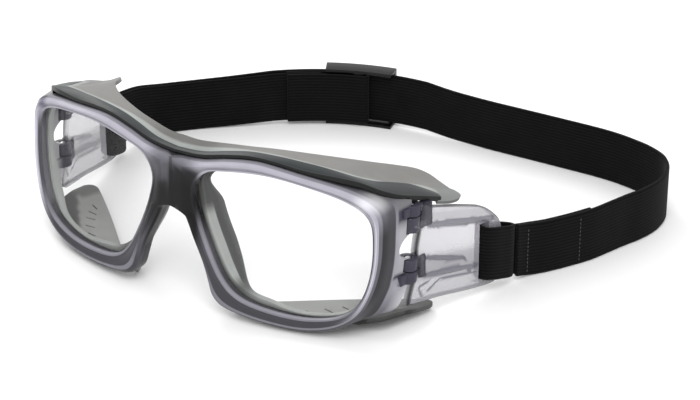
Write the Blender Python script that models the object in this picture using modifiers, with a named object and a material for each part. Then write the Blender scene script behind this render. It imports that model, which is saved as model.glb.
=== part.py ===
"""Sports protective goggles: a two-lens wrap frame with soft brow, nose and cheek parts, two short
folding temples and an elastic head strap with a slider.

Lengths below are in millimetres in the goggles' own axes: X across the face from its mid-plane, with
the wearer's left at +X, Y rearwards from the bridge, Z up from the surface that the goggles stand on.
MM turns them into metres, and CENTRE moves the finished object onto the middle of its own box.
"""

import math

import bmesh
import bpy
from mathutils import Matrix, Vector

MM = 0.001
GAP = 0.3  # between pieces that touch
CENTRE = Vector((9.25, 72.2, 0.0))  # of the whole object's box, in plan

# Front surface of the frame: a shallow arc in plan that leans back a little
FACE_RADIUS = 163.0
FACE_LEAN = 0.067
FACE_Z = 44.0
EYE_CENTRE = (36.0, 28.0)  # the outlines of one eye are seen from this point

# Lens opening and outer outline of the left half, as X and Z
OPENING = (
    (8.0, 40.0), (12.0, 45.6), (20.0, 47.8), (32.0, 49.0), (44.0, 47.9), (56.0, 45.0), (62.6, 40.4),
    (64.2, 32.0), (63.6, 21.5), (61.0, 13.4), (56.0, 8.2), (46.0, 5.6), (34.0, 5.8), (24.0, 7.8),
    (18.0, 12.8), (13.0, 22.0), (9.2, 31.8),
)
UNDERSIDE = (
    (0.0, 32.2), (3.6, 31.0), (7.3, 23.8), (11.0, 16.4), (12.9, 10.4), (14.6, 5.8), (18.6, 2.8), (28.0, 1.2),
    (38.0, 0.6), (46.0, 0.9), (53.0, 2.6), (58.2, 5.6), (62.4, 10.2), (65.3, 17.5), (66.9, 26.0), (67.1, 35.0),
    (66.9, 40.0), (66.3, 42.6),
)
BROW_LINE = (
    (66.3, 42.6), (64.9, 44.4), (62.0, 46.4), (58.0, 48.0), (52.0, 49.5), (42.0, 51.0), (32.0, 52.3), (26.0, 52.3),
    (18.0, 51.0), (10.0, 49.0), (0.0, 48.3),
)
RIM_DEPTH = 5.7
LIP_DEPTH = 1.9
REBATE = 1.3
STATIONS = 52

# Side walls and hinges
WALL_X, WALL_FLARE = 62.2, 0.243  # the outer face of a side wall: X = WALL_X + WALL_FLARE * Y
WALL_THICK = 2.2
WALL_REAR, WALL_LOW, WALL_HIGH = 23.5, 7.2, 42.6
HINGE = Vector((67.3, 26.9, 28.5))
HINGE_TILT = math.atan(0.073)
EAR_RADIUS, PIN_RADIUS, PIN_BORE = 3.0, 0.85, 1.15
UPPER_FRAME_EAR, UPPER_TEMPLE_EAR = (8.9, 12.4), (3.7, 8.6)  # heights from the hinge's middle
LOWER_TEMPLE_EAR, LOWER_FRAME_EAR = (-8.8, -5.0), (-12.9, -9.1)

# Lenses and the gaskets behind them
LENS_FRONT, LENS_THICK = 2.2, 2.0
GASKET_FRONT = 4.5
GASKET_LIP = 0.8

# Temples: outline of the outer face, as Y and Z
TEMPLE_THICK = 2.6
TEMPLE_OUTLINE = (
    (29.0, 35.6), (31.0, 37.6), (34.1, 37.8), (40.0, 36.0), (45.2, 34.3), (51.0, 32.2), (55.5, 30.2), (59.7, 26.6),
    (62.7, 22.4), (64.2, 15.0), (63.8, 7.6), (61.5, 3.1), (58.6, 2.4), (50.2, 3.5), (38.0, 5.8), (26.8, 7.2),
    (25.6, 8.4), (26.6, 12.6), (27.6, 15.6), (29.2, 19.0), (28.4, 24.0), (28.8, 28.0), (29.6, 32.3),
)
SLOT_Y, SLOT_Z = (53.6, 57.4), (4.6, 24.9)

# Strap: lower edge of its middle surface, as X, Y and Z
STRAP_WIDTH, STRAP_THICK = 18.2, 1.3
BEND_CENTRE, BEND_RADIUS = (3.6, 65.6), 75.6  # the rear bend that the slider runs on
BEND_START, BEND_END = 3.4, 46.4  # degrees
BEND_LIFT = 1.2
NEAR_RUN = (
    (79.6, 68.6, 1.6), (80.9, 73.4, 0.4), (84.4, 79.2, 0.0), (88.4, 86.6, 0.0), (91.8, 94.0, 0.0), (93.8, 100.8, 0.0),
    (95.8, 108.0, 0.0), (97.9, 114.6, 0.0), (99.0, 121.6, 0.0), (98.5, 128.4, 0.0), (96.4, 134.2, 0.0),
    (92.4, 139.2, 0.0), (87.0, 142.2, 0.0), (80.0, 144.2, 0.0), (68.0, 145.5, 0.0), (48.0, 144.4, 0.0),
    (26.0, 142.7, 0.0), (10.0, 141.5, 0.4),
)
LOOP_PLAN = (
    (-1.3, 55.3), (0.7, 55.9), (1.45, 58.4), (1.35, 62.0), (1.1, 65.2), (-0.1, 67.7), (-1.6, 67.6), (-3.3, 65.2), (-3.95, 62.0),
    (-3.95, 58.4), (-3.2, 56.0),
)  # offset from the temple's outer face, and Y
LOOP_THICK, LOOP_LOW, LOOP_FALL = 1.1, 5.3, 0.27
FAR_RUN = ((-61.0, 107.4, 0.5), (-70.4, 97.8, 0.0), (-77.0, 88.6, 0.4), (-80.2, 79.4, 2.0), (-80.4, 69.8, 3.2))

# Slider and the strap's sewn end round its centre bar. Directions and lengths round the bend are in degrees
SLIDER_MIDDLE, SLIDER_HALF = 22.5, 9.2
SLIDER_HEIGHT = 20.8
END_BAR, END_BAR_REACH = 2.2, 2.9
BAR_HALF, BAR_REACH, BAR_THICK = 1.5, 3.3, 1.1
LEG_LENGTH, RETURN_START = 19.9, 10.6
END_PLY, RETURN_THICK = 0.9, 0.6


def face_y(x, z):
    return x * x / (2 * FACE_RADIUS) + FACE_LEAN * (z - FACE_Z)


def smooth_step(low, high, value):
    t = min(1.0, max(0.0, (value - low) / (high - low)))
    return t * t * (3 - 2 * t)


def spline(points, steps, closed=False):
    """A Catmull-Rom curve through points of any dimension, with steps to each span."""
    count = len(points)
    spans = count if closed else count - 1
    curve = []
    for i in range(spans):
        quad = [points[(i + k - 1) % count] if closed else points[min(max(i + k - 1, 0), count - 1)] for k in range(4)]
        for step in range(steps):
            t = step / steps
            weights = (
                (-t + 2 * t * t - t ** 3) / 2,
                (2 - 5 * t * t + 3 * t ** 3) / 2,
                (t + 4 * t * t - 3 * t ** 3) / 2,
                (t ** 3 - t * t) / 2,
            )
            curve.append(tuple(sum(w * p[axis] for w, p in zip(weights, quad)) for axis in range(len(quad[0]))))
    if not closed:
        curve.append(tuple(points[-1]))
    return curve


def reach(outline, angle, centre=EYE_CENTRE):
    """Distance from centre to a closed outline, along a direction."""
    dx, dz = math.cos(angle), math.sin(angle)
    best = 0.0
    for (ax, az), (bx, bz) in zip(outline, outline[1:] + outline[:1]):
        ux, uz = ax - centre[0], az - centre[1]
        vx, vz = bx - ax, bz - az
        across = dx * vz - dz * vx
        if abs(across) < 1e-9:
            continue
        share = (dz * ux - dx * uz) / across
        far = (ux * vz - uz * vx) / across
        if -1e-7 <= share <= 1 + 1e-7 and far > best:
            best = far
    return best


OPENING_CURVE = spline(OPENING, 8, closed=True)
OUTER_CURVE = spline(UNDERSIDE, 6)[:-1] + spline(BROW_LINE, 6)


def opening_point(angle, out):
    """X and Z of a point that lies out from the lens opening's edge."""
    far = reach(OPENING_CURVE, angle) + out
    return EYE_CENTRE[0] + far * math.cos(angle), EYE_CENTRE[1] + far * math.sin(angle)


def rim_width(angle):
    return reach(OUTER_CURVE, angle) - reach(OPENING_CURVE, angle)


def rebate_at(angle):
    return min(REBATE, 0.45 * rim_width(angle))


def station_angles():
    """Directions around one eye, with one at each end of the stretch that lies on the mid-plane."""
    bridge = [math.atan2(z - EYE_CENTRE[1], -EYE_CENTRE[0]) for z in (BROW_LINE[-1][1], UNDERSIDE[0][1])]
    inner = [bridge[0] + (bridge[1] - bridge[0]) * i / 4 for i in range(5)]
    rest = bridge[0] + 2 * math.pi - bridge[1]
    outer = [bridge[1] + rest * (i + 1) / STATIONS for i in range(STATIONS - 1)]
    return inner + outer


ANGLES = station_angles()


def material(name, colour, roughness, metallic=0.0, alpha=1.0):
    made = bpy.data.materials.new(name)
    made.use_nodes = True
    shader = made.node_tree.nodes["Principled BSDF"]
    shader.inputs["Base Color"].default_value = (*colour, 1.0)
    shader.inputs["Roughness"].default_value = roughness
    shader.inputs["Metallic"].default_value = metallic
    shader.inputs["Alpha"].default_value = alpha
    return made


class Kit:
    """The scene's collections, the parent empty and the materials."""

    def __init__(self):
        for thing in list(bpy.data.objects):
            bpy.data.objects.remove(thing)
        self.parts = bpy.data.collections.new("sports_goggles")
        self.cutters = bpy.data.collections.new("cutters")
        for group in (self.parts, self.cutters):
            bpy.context.scene.collection.children.link(group)
        self.cutters.hide_render = True
        self.root = bpy.data.objects.new("goggles_origin", None)
        self.root.location = -CENTRE * MM
        self.parts.objects.link(self.root)
        self.materials = {
            "frame": material("smoke_plastic", (0.30, 0.29, 0.33), 0.22, alpha=0.75),
            "clear": material("clear_plastic", (0.86, 0.86, 0.88), 0.08, alpha=0.3),
            "temple": material("tinted_plastic", (0.66, 0.65, 0.70), 0.15, alpha=0.55),
            "dark": material("dark_soft_plastic", (0.045, 0.055, 0.055), 0.45),
            "grey": material("grey_soft_plastic", (0.36, 0.36, 0.34), 0.55),
            "steel": material("steel", (0.6, 0.6, 0.6), 0.3, metallic=1.0),
            "strap": material("elastic_webbing", (0.012, 0.012, 0.014), 0.85),
            "slider": material("black_plastic", (0.02, 0.02, 0.024), 0.35),
        }

    def add(self, name, mesh, look, cutter=False):
        piece = bpy.data.objects.new(name, mesh)
        if cutter:
            self.cutters.objects.link(piece)
            piece.hide_render = True
            piece.display_type = "WIRE"
        else:
            self.parts.objects.link(piece)
            mesh.materials.clear()
            mesh.materials.append(self.materials[look])
            mesh.shade_smooth()
            mesh.set_sharp_from_angle(angle=math.radians(35))
        piece.parent = self.root
        return piece


def mesh_from(name, points, faces):
    """A mesh from points in millimetres, with its faces turned outwards."""
    mesh = bpy.data.meshes.new(name)
    mesh.from_pydata([Vector(p) * MM for p in points], [], faces)
    shape = bmesh.new()
    shape.from_mesh(mesh)
    bmesh.ops.recalc_face_normals(shape, faces=shape.faces)
    if shape.calc_volume(signed=True) < 0:
        bmesh.ops.reverse_faces(shape, faces=shape.faces)
    shape.to_mesh(mesh)
    shape.free()
    return mesh


def loft(name, rings, closed=False):
    """Joins rings of equal count into a skin: closed runs back to the first ring, otherwise the ends are capped."""
    size, count = len(rings[0]), len(rings)
    faces = []
    for i in range(count if closed else count - 1):
        for j in range(size):
            a, b = i * size + j, i * size + (j + 1) % size
            shift = ((i + 1) % count) * size
            faces.append((a, b, shift + (j + 1) % size, shift + j))
    if not closed:
        faces.append(tuple(range(size)))
        faces.append(tuple(range((count - 1) * size, count * size)))
    return mesh_from(name, [p for ring in rings for p in ring], faces)


def sheet(name, rows, thickness):
    """A solid sheet: rows of surface points, thickened downwards or inwards along its own normals by Solidify."""
    size = len(rows[0])
    faces = [
        (i * size + j, i * size + j + 1, (i + 1) * size + j + 1, (i + 1) * size + j)
        for i in range(len(rows) - 1)
        for j in range(size - 1)
    ]
    mesh = bpy.data.meshes.new(name)
    mesh.from_pydata([Vector(p) * MM for row in rows for p in row], [], faces)
    piece = bpy.data.objects.new(name, mesh)
    bpy.context.scene.collection.objects.link(piece)
    thicken = piece.modifiers.new("thicken", "SOLIDIFY")
    thicken.thickness = thickness * MM
    thicken.offset = 0.0
    return applied(piece, name)


def applied(piece, name):
    """The piece's mesh with its modifiers applied, as a new mesh. The piece itself is removed."""
    bpy.context.view_layer.update()
    solid = bpy.data.meshes.new_from_object(piece.evaluated_get(bpy.context.evaluated_depsgraph_get()))
    solid.name = name
    bpy.data.objects.remove(piece)
    return solid


def mirrored(mesh, name):
    copy = mesh.copy()
    copy.name = name
    copy.transform(Matrix.Diagonal((-1, 1, 1, 1)))
    copy.flip_normals()
    return copy


def pair(kit, name, mesh, look):
    """The left piece and its mirror image on the right."""
    kit.add("left_" + name, mesh, look)
    kit.add("right_" + name, mirrored(mesh, "right_" + name), look)


def combine(kit, mesh, name, steps):
    """Joins or cuts the mesh with each (operation, cutter mesh) in turn."""
    piece = bpy.data.objects.new(name, mesh)
    bpy.context.scene.collection.objects.link(piece)
    for index, (operation, tool) in enumerate(steps):
        cutter = kit.add(f"{name}_tool_{index}", tool, None, cutter=True)
        cutter.parent = None
        step = piece.modifiers.new(f"step_{index}", "BOOLEAN")
        step.operation = operation
        step.object = cutter
        step.solver = "EXACT"
    return applied(piece, name)


# Simple solids for ears, bores and slots, in the goggles' axes ------------------------------------


def hinge_matrix():
    return Matrix.Translation(HINGE) @ Matrix.Rotation(-HINGE_TILT, 4, "X")


def scaled_mesh(name, shape, matrix):
    """A mesh from a bmesh in millimetres, placed by matrix."""
    mesh = bpy.data.meshes.new(name)
    shape.transform(Matrix.Scale(MM, 4) @ matrix)
    shape.to_mesh(mesh)
    shape.free()
    return mesh


def barrel(name, radius, low, high, sides=20):
    """A cylinder on the hinge's axis between two heights."""
    shape = bmesh.new()
    bmesh.ops.create_cone(
        shape, cap_ends=True, segments=sides, radius1=radius, radius2=radius, depth=high - low,
        matrix=Matrix.Translation((0, 0, (low + high) / 2)),
    )
    return scaled_mesh(name, shape, hinge_matrix())


def block(name, low, high, matrix=None):
    """A box between two corners."""
    low, high = Vector(low), Vector(high)
    shape = bmesh.new()
    bmesh.ops.create_cube(shape, size=1.0)
    bmesh.ops.scale(shape, vec=high - low, verts=shape.verts)
    bmesh.ops.translate(shape, vec=(low + high) / 2, verts=shape.verts)
    return scaled_mesh(name, shape, matrix or Matrix.Identity(4))


# Frame --------------------------------------------------------------------------------------------


def rim_section(angle):
    """The frame's section at one direction from the eye's centre, from the lip round to the rebate."""
    width = rim_width(angle)
    outer = opening_point(angle, width)
    on_mid_plane = outer[0] < 1e-3
    inner_depth = face_y(*opening_point(angle, 0.0))
    outer_depth = face_y(*outer)

    def at(out, depth):
        x, z = opening_point(angle, out)
        share = out / width
        base = inner_depth + (outer_depth - inner_depth) * share
        return (0.0 if on_mid_plane and out == width else x, base + depth, z)

    side = max(smooth_step(54, 62.5, outer[0]) if outer[1] < 28 else smooth_step(58, 65, outer[0]), 0.0)
    low = WALL_LOW
    rear_z = outer[1] + side * (min(max(outer[1], low), WALL_HIGH) - outer[1])
    wall_rear = WALL_REAR - 0.27 * max(0.0, 17.0 - rear_z)
    rear_y = outer_depth + RIM_DEPTH + side * (wall_rear - outer_depth - RIM_DEPTH)
    rear_x = outer[0] + side * (WALL_X + WALL_FLARE * rear_y - outer[0])
    rebate = rebate_at(angle)
    back = at(rebate, RIM_DEPTH)
    inward = (
        back[0] + side * (rear_x - WALL_THICK - back[0]),
        back[1] + side * (rear_y - back[1]),
        back[2] + side * (rear_z - back[2]),
    )
    edge = (0.0, 0.0) if on_mid_plane else (0.25, 1.5)
    return [
        at(0.0, LIP_DEPTH),
        at(0.0, 0.8),
        at(min(0.9, width * 0.3), 0.1),
        at(width * 0.55, -0.25),
        at(width - min(1.2, width * 0.25), edge[0]),
        at(width, edge[1]),
        (0.0 if on_mid_plane else rear_x, rear_y, rear_z),
        inward,
        at(rebate, LIP_DEPTH),
    ]


def half_frame_mesh():
    """One half of the frame, open along the mid-plane."""
    rings = [rim_section(angle) for angle in ANGLES]
    size, count = len(rings[0]), len(rings)
    faces = []
    for i in range(count):
        for j in range(size):
            on_plane = i < 4 and j == 5
            if on_plane:
                continue
            a, b = i * size + j, i * size + (j + 1) % size
            shift = ((i + 1) % count) * size
            faces.append((a, b, shift + (j + 1) % size, shift + j))
    mesh = bpy.data.meshes.new("half_frame")
    mesh.from_pydata([Vector(p) * MM for ring in rings for p in ring], [], faces)
    return mesh


def ear(name, low, high, arm_low, arm_high):
    """One hinge ear's solids: its barrel and the arm that joins it to its plate."""
    return [
        ("UNION", barrel(name, EAR_RADIUS, low, high)),
        ("UNION", block(name + "_arm", (arm_low[0], arm_low[1], low), (arm_high[0], arm_high[1], high), hinge_matrix())),
    ]


def front_frame(kit):
    half = bpy.data.objects.new("half_frame", half_frame_mesh())
    bpy.context.scene.collection.objects.link(half)
    mirror = half.modifiers.new("mirror", "MIRROR")
    mirror.merge_threshold = 0.00002
    whole = applied(half, "rims")
    shape = bmesh.new()
    shape.from_mesh(whole)
    bmesh.ops.recalc_face_normals(shape, faces=shape.faces)
    if shape.calc_volume(signed=True) < 0:
        bmesh.ops.reverse_faces(shape, faces=shape.faces)
    shape.to_mesh(whole)
    shape.free()
    steps = []
    for low, high in (UPPER_TEMPLE_EAR, LOWER_TEMPLE_EAR):
        tool = barrel("ear_room", EAR_RADIUS + 0.4, low - GAP, high + GAP)
        steps += [("DIFFERENCE", tool), ("DIFFERENCE", mirrored(tool, "ear_room_right"))]
    for low, high in (UPPER_FRAME_EAR, LOWER_FRAME_EAR):
        for operation, tool in ear("frame_ear", low, high, (-2.0, -6.5), (1.6, 0.0)):
            steps += [(operation, tool), (operation, mirrored(tool, "frame_ear_right"))]
    window = bmesh.new()
    bmesh.ops.create_cone(window, cap_ends=True, segments=28, radius1=1, radius2=1, depth=14)
    place = Matrix.Translation((67.0, 28.2, 27.9)) @ Matrix.Rotation(math.pi / 2, 4, "Y")
    window_mesh = scaled_mesh("window", window, place @ Matrix.Diagonal((4.4, 7.2, 1, 1)))
    steps += [("DIFFERENCE", window_mesh), ("DIFFERENCE", mirrored(window_mesh, "window_right"))]
    bore = barrel("bore", PIN_BORE, -16, 17, 16)
    steps += [("DIFFERENCE", bore), ("DIFFERENCE", mirrored(bore, "bore_right"))]
    kit.add("front_frame", combine(kit, whole, "front_frame", steps), "frame")


# Lenses, gaskets and soft parts -------------------------------------------------------------------


def lens_mesh():
    """A curved plate that fills the rebate behind the lip."""
    edge = [opening_point(angle, rebate_at(angle) - GAP) for angle in ANGLES[::2]]
    points, faces = [], []
    shares = (1.0, 0.66, 0.33)
    size = len(edge)
    for depth in (LENS_FRONT, LENS_FRONT + LENS_THICK):
        for share in shares:
            for x, z in edge:
                px = EYE_CENTRE[0] + (x - EYE_CENTRE[0]) * share
                pz = EYE_CENTRE[1] + (z - EYE_CENTRE[1]) * share
                points.append((px, face_y(px, pz) + depth, pz))
        points.append((EYE_CENTRE[0], face_y(*EYE_CENTRE) + depth, EYE_CENTRE[1]))
    side = size * len(shares) + 1
    for base in (0, side):
        for i in range(size):
            j = (i + 1) % size
            for ring in range(len(shares) - 1):
                a = base + ring * size
                faces.append((a + i, a + j, a + size + j, a + size + i))
            last = base + (len(shares) - 1) * size
            faces.append((last + i, last + j, base + side - 1))
    for i in range(size):
        j = (i + 1) % size
        faces.append((i, j, side + j, side + i))
    return mesh_from("lens", points, faces)


def gasket_depth(angle):
    """How far behind the front surface the gasket reaches: deep at the nose and the outer cheek."""
    x, z = opening_point(angle, 0.0)
    nose = smooth_step(26, 14, x)
    cheek = smooth_step(44, 56, x) * smooth_step(30, 14, z)
    return 7.2 + 2.2 * nose + 4.0 * cheek


def gasket_mesh():
    rings = []
    for angle in ANGLES[::2]:
        out = rebate_at(angle) - GAP
        rear = gasket_depth(angle)
        lean = 1.7 * smooth_step(26, 16, opening_point(angle, 0.0)[0])
        corners = (
            (-GASKET_LIP, GASKET_FRONT), (out, GASKET_FRONT), (out - lean, rear), (-GASKET_LIP - lean, rear),
        )
        ring = []
        for offset, depth in corners:
            x, z = opening_point(angle, offset)
            ring.append((x, face_y(x, z) + depth, z))
        rings.append(ring)
    return loft("eye_gasket", rings, closed=True)


def cheek_guard_mesh():
    """A thin flap that runs back and down from the rim's bottom to a tip that the goggles stand on."""
    front = ((29.0, 3.4), (36.0, 3.2), (44.0, 3.2), (51.0, 3.4), (57.0, 3.8), (61.5, 4.4), (64.4, 5.2))
    rear_start, rear_end = Vector((30.0, 9.9)), Vector((67.0, 41.6))
    rows = []
    for index, (x, z) in enumerate(front):
        share = index / (len(front) - 1)
        start = Vector((x, face_y(x, z) + RIM_DEPTH + 0.9 + 1.8 * smooth_step(57, 65, x), z))
        goal = rear_start.lerp(rear_end, share)
        end = Vector((goal.x, goal.y, 3.0 - 1.8 * share))
        rows.append([start.lerp(end, t / 4) for t in range(5)])
    return sheet("cheek_guard", rows, 1.5)


def nose_pad_mesh():
    """A saddle under the bridge with a flange down each side of the nose."""
    half = (
        (0.0, 34.6, 2.6), (3.4, 33.4, 3.2), (6.9, 28.6, 4.6), (10.0, 22.2, 5.4), (13.6, 15.8, 5.4), (16.8, 9.8, 5.0),
        (18.7, 5.4, 4.0), (18.9, 2.0, 2.6),
    )
    path = [(-x, z, depth) for x, z, depth in half[:0:-1]] + list(half)
    rings = []
    for index, (x, z, depth) in enumerate(path):
        before, after = path[max(index - 1, 0)], path[min(index + 1, len(path) - 1)]
        along = Vector((after[0] - before[0], after[1] - before[1])).normalized()
        normal = Vector((-along.y, along.x)) * 0.8
        front = face_y(x, z) + RIM_DEPTH + 0.4
        flare = 1.5 * math.copysign(min(1.0, abs(x) / 6.0), x) if x else 0.0
        rings.append([
            (x - normal.x, front, z - normal.y),
            (x + normal.x, front, z + normal.y),
            (x + normal.x + flare, front + depth, z + normal.y),
            (x - normal.x + flare, front + depth, z - normal.y),
        ])
    return loft("nose_pad", rings)


# Brow strip and brow shield: paths of the left half ------------------------------------------------

STRIP_LOW = (
    (0.0, 1.9, 48.9), (9.0, 2.4, 49.4), (18.0, 3.4, 51.4), (26.0, 4.6, 52.7), (34.0, 6.0, 52.6), (42.0, 7.8, 51.5),
    (48.0, 9.4, 50.8), (54.0, 11.2, 50.2), (59.0, 14.4, 48.7), (63.2, 18.4, 45.9), (66.7, 23.6, 43.3), (69.0, 30.4, 40.9),
    (71.2, 37.8, 38.1),
)
STRIP_HIGH = (
    (0.0, 4.6, 49.8), (8.4, 5.4, 50.3), (17.2, 6.7, 52.3), (24.6, 7.8, 53.7), (33.5, 9.4, 54.0), (40.8, 10.9, 53.7),
    (46.6, 12.5, 53.0), (51.6, 14.4, 51.8), (55.2, 17.4, 49.8), (58.2, 22.0, 47.3), (60.6, 27.2, 45.2), (62.9, 33.7, 42.6),
    (65.6, 39.8, 39.8),
)
STRIP_EDGE = 1.0  # height of the strip's outer edge


def brow_strip_mesh():
    low, high = spline(STRIP_LOW, 2), spline(STRIP_HIGH, 2)
    rings = []
    for a, b in zip(low, high):
        a, b = Vector(a), Vector(b)
        edge = a + Vector((0.0, 0.15, STRIP_EDGE))
        under = Vector((0.0, 0.0, STRIP_EDGE - 0.1))
        rings.append([a, edge, edge.lerp(b, 0.5) + Vector((0.0, 0.0, 0.2)), b, b - under, a.lerp(b, 0.35) - under * 0.1])
    left = [[tuple(p) for p in ring] for ring in rings]
    right = [[(-x, y, z) for x, y, z in ring] for ring in left[:0:-1]]
    return loft("brow_strip", right + left)


SHIELD_FRONT = (
    (0.0, 5.7, 49.2), (8.4, 6.5, 49.8), (17.0, 7.8, 51.7), (24.3, 8.9, 53.1), (33.2, 10.5, 53.4), (40.4, 12.0, 53.1),
    (46.0, 13.6, 52.3), (50.8, 15.6, 51.0), (54.2, 18.6, 48.9), (57.2, 23.0, 46.4), (59.6, 28.0, 44.3), (61.9, 34.3, 41.8),
    (64.8, 41.4, 38.6),
)
SHIELD_REAR = (
    (0.0, 7.8, 51.8), (6.0, 8.0, 51.7), (15.0, 9.9, 52.1), (21.0, 11.8, 52.1), (28.6, 15.4, 51.8), (36.4, 20.6, 50.5),
    (43.6, 27.0, 48.5), (49.4, 33.4, 46.3), (53.2, 39.6, 44.0), (57.0, 45.0, 41.8), (60.2, 47.6, 39.4), (62.8, 48.2, 37.2),
    (66.4, 48.6, 35.5),
)
SHIELD_TAIL = ((72.2, 39.6, 37.5), (73.4, 42.2, 36.6), (73.2, 44.8, 35.9), (71.8, 47.2, 35.3), (69.6, 49.9, 34.6))
SHIELD_THICK = 1.3


def brow_shield_mesh():
    front, rear = spline(SHIELD_FRONT, 2), spline(SHIELD_REAR, 2)
    rows = []
    for a, b in zip(front, rear):
        a, b = Vector(a), Vector(b)
        dip = 1.4 * smooth_step(50, 60, a.x)
        rows.append([a.lerp(b, t / 4) + Vector((0, 0, -dip * math.sin(math.pi * t / 4))) for t in range(5)])
    left = [[tuple(p) for p in row] for row in rows] + [SHIELD_TAIL]
    right = [[(-x, y, z) for x, y, z in row] for row in left[:0:-1]]
    return sheet("brow_shield", right + left, SHIELD_THICK)


# Temples and pins ---------------------------------------------------------------------------------


def plate(name, outline, outer_offset, thickness):
    """A plate parallel to the side wall: outline as Y and Z, with its outer face outer_offset out from the wall's."""
    rings = []
    for offset in (outer_offset, outer_offset - thickness):
        rings.append([(WALL_X + WALL_FLARE * y + offset, y, z) for y, z in outline])
    return loft(name, rings)


def temple_mesh(kit):
    body = plate("temple", TEMPLE_OUTLINE, 0.0, TEMPLE_THICK)
    slot = [(SLOT_Y[0], SLOT_Z[0]), (SLOT_Y[1], SLOT_Z[0]), (SLOT_Y[1], SLOT_Z[1]), (SLOT_Y[0], SLOT_Z[1])]
    steps = []
    for low, high in (UPPER_FRAME_EAR, LOWER_FRAME_EAR):
        steps.append(("DIFFERENCE", barrel("ear_room", EAR_RADIUS + 0.4, low - GAP, high + GAP)))
    for low, high in (UPPER_TEMPLE_EAR, LOWER_TEMPLE_EAR):
        steps += ear("temple_ear", low, high, (-1.2, 0.0), (1.9, 4.6))
    steps.append(("DIFFERENCE", barrel("bore", PIN_BORE, -9.4, 9.2, 16)))
    steps.append(("DIFFERENCE", plate("slot", slot, 4.0, 12.0)))
    return combine(kit, body, "temple", steps)


def pin_mesh(low, high):
    """A plain steel pin through a pair of ears."""
    return barrel("hinge_pin", PIN_RADIUS, low, high, 16)


# Strap --------------------------------------------------------------------------------------------


def bend_point(degrees, inset=0.0):
    """A plan point of the strap's rear bend, degrees round from straight behind its centre."""
    turn = math.radians(degrees)
    radius = BEND_RADIUS - inset
    return BEND_CENTRE[0] - radius * math.sin(turn), BEND_CENTRE[1] + radius * math.cos(turn)


def bend_path(first, last, steps, inset=0.0):
    angles = [first + (last - first) * i / steps for i in range(steps + 1)]
    return [(*bend_point(angle, inset), BEND_LIFT) for angle in angles]


def far_path(start, steps):
    """The strap's path from a direction on the bend to the right temple."""
    bend = bend_path(start, BEND_END, steps)
    return bend[:-1] + spline((bend[-1],) + FAR_RUN, 3)


def strap_path():
    bend = bend_path(BEND_START, BEND_END, 12)
    near = spline(NEAR_RUN + (bend[0],), 3)
    path = near[:-1] + bend + spline((bend[-1],) + FAR_RUN, 3)[1:]
    return [(x, y, max(z, 0.0)) for x, y, z in path]


def across(path, index):
    """The level direction towards the head, square to a path at one of its points."""
    before, after = path[max(index - 1, 0)], path[min(index + 1, len(path) - 1)]
    along = Vector((after[0] - before[0], after[1] - before[1], 0.0)).normalized()
    return Vector((-along.y, along.x, 0.0))


def band(name, path, offset=0.0, thickness=STRAP_THICK, width=STRAP_WIDTH, lift=0.0):
    """A flat band on its edge, along the lower edge's X, Y and Z. Offset moves it towards the head."""
    rings = []
    for index, point in enumerate(path):
        inward = across(path, index)
        base = Vector(point) + inward * offset + Vector((0, 0, lift))
        skin, rise = inward * thickness / 2, Vector((0, 0, width))
        rings.append([base - skin, base + skin, base + skin + rise, base - skin + rise])
    return loft(name, rings)


def eased(path, near, far, first, last):
    """The path moved towards the head: by near up to its point number first, by far from number last on."""
    moved = []
    for index, (x, y, z) in enumerate(path):
        inward = across(path, index) * (near + (far - near) * smooth_step(first, last, index))
        moved.append((x + inward.x, y + inward.y, z))
    return moved


def strap_loop_mesh():
    """The strap's turn round a temple's rear bar: a ring in plan, as offset from the temple's outer face and Y."""
    curve = spline(LOOP_PLAN, 3, closed=True)
    size = len(curve)
    rings = []
    for index, (off, y) in enumerate(curve):
        before, after = curve[index - 1], curve[(index + 1) % size]
        along = Vector((after[0] - before[0], after[1] - before[1])).normalized()
        ring = []
        for side, rise in ((-1, 0.0), (1, 0.0), (1, STRAP_WIDTH), (-1, STRAP_WIDTH)):
            point_y = y - along.x * side * LOOP_THICK / 2
            point_x = WALL_X + WALL_FLARE * point_y + off + along.y * side * LOOP_THICK / 2
            ring.append((point_x, point_y, LOOP_LOW - LOOP_FALL * (y - LOOP_PLAN[0][1]) + rise))
        rings.append(ring)
    return loft("strap_loop", rings, closed=True)


def slider_mesh(kit):
    """Two rails joined by two end bars outside the strap and by a centre bar on the head side of it."""
    first, last = SLIDER_MIDDLE - SLIDER_HALF, SLIDER_MIDDLE + SLIDER_HALF
    bar = (SLIDER_MIDDLE - BAR_HALF, SLIDER_MIDDLE + BAR_HALF)
    end_bar = math.degrees(END_BAR / BEND_RADIUS)
    middle = (BAR_REACH - END_BAR_REACH) / 2
    body = band("slider", bend_path(first, last, 8), middle, END_BAR_REACH + BAR_REACH, SLIDER_HEIGHT, -BEND_LIFT)
    room = {"width": STRAP_WIDTH + 2 * GAP, "lift": -GAP}
    strap_room = STRAP_THICK / 2 + GAP
    steps = [("DIFFERENCE", band("passage", bend_path(first - 1, last + 1, 8), 0.0, 2 * strap_room, **room))]
    behind = BAR_REACH + 1.0
    for low, high in ((first - 1, first + end_bar), (last - end_bar, last + 1)):
        path = bend_path(low, high, 2)
        tool = band("end_room", path, (behind + strap_room) / 2 - 0.1, behind - strap_room + 0.2, **room)
        steps.append(("DIFFERENCE", tool))
    for low, high in ((first + end_bar, bar[0]), (bar[1], last - end_bar)):
        steps.append(("DIFFERENCE", band("slot_room", bend_path(low, high, 3), 0.0, 12.0, **room)))
    before_bar = BAR_REACH - BAR_THICK
    reach_out = END_BAR_REACH + 1.0
    over = bend_path(bar[0] - 0.1, bar[1] + 0.1, 1)
    tool = band("bar_room", over, (before_bar - reach_out) / 2, before_bar + reach_out, **room)
    steps.append(("DIFFERENCE", tool))
    return combine(kit, body, "strap_slider", steps)


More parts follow.
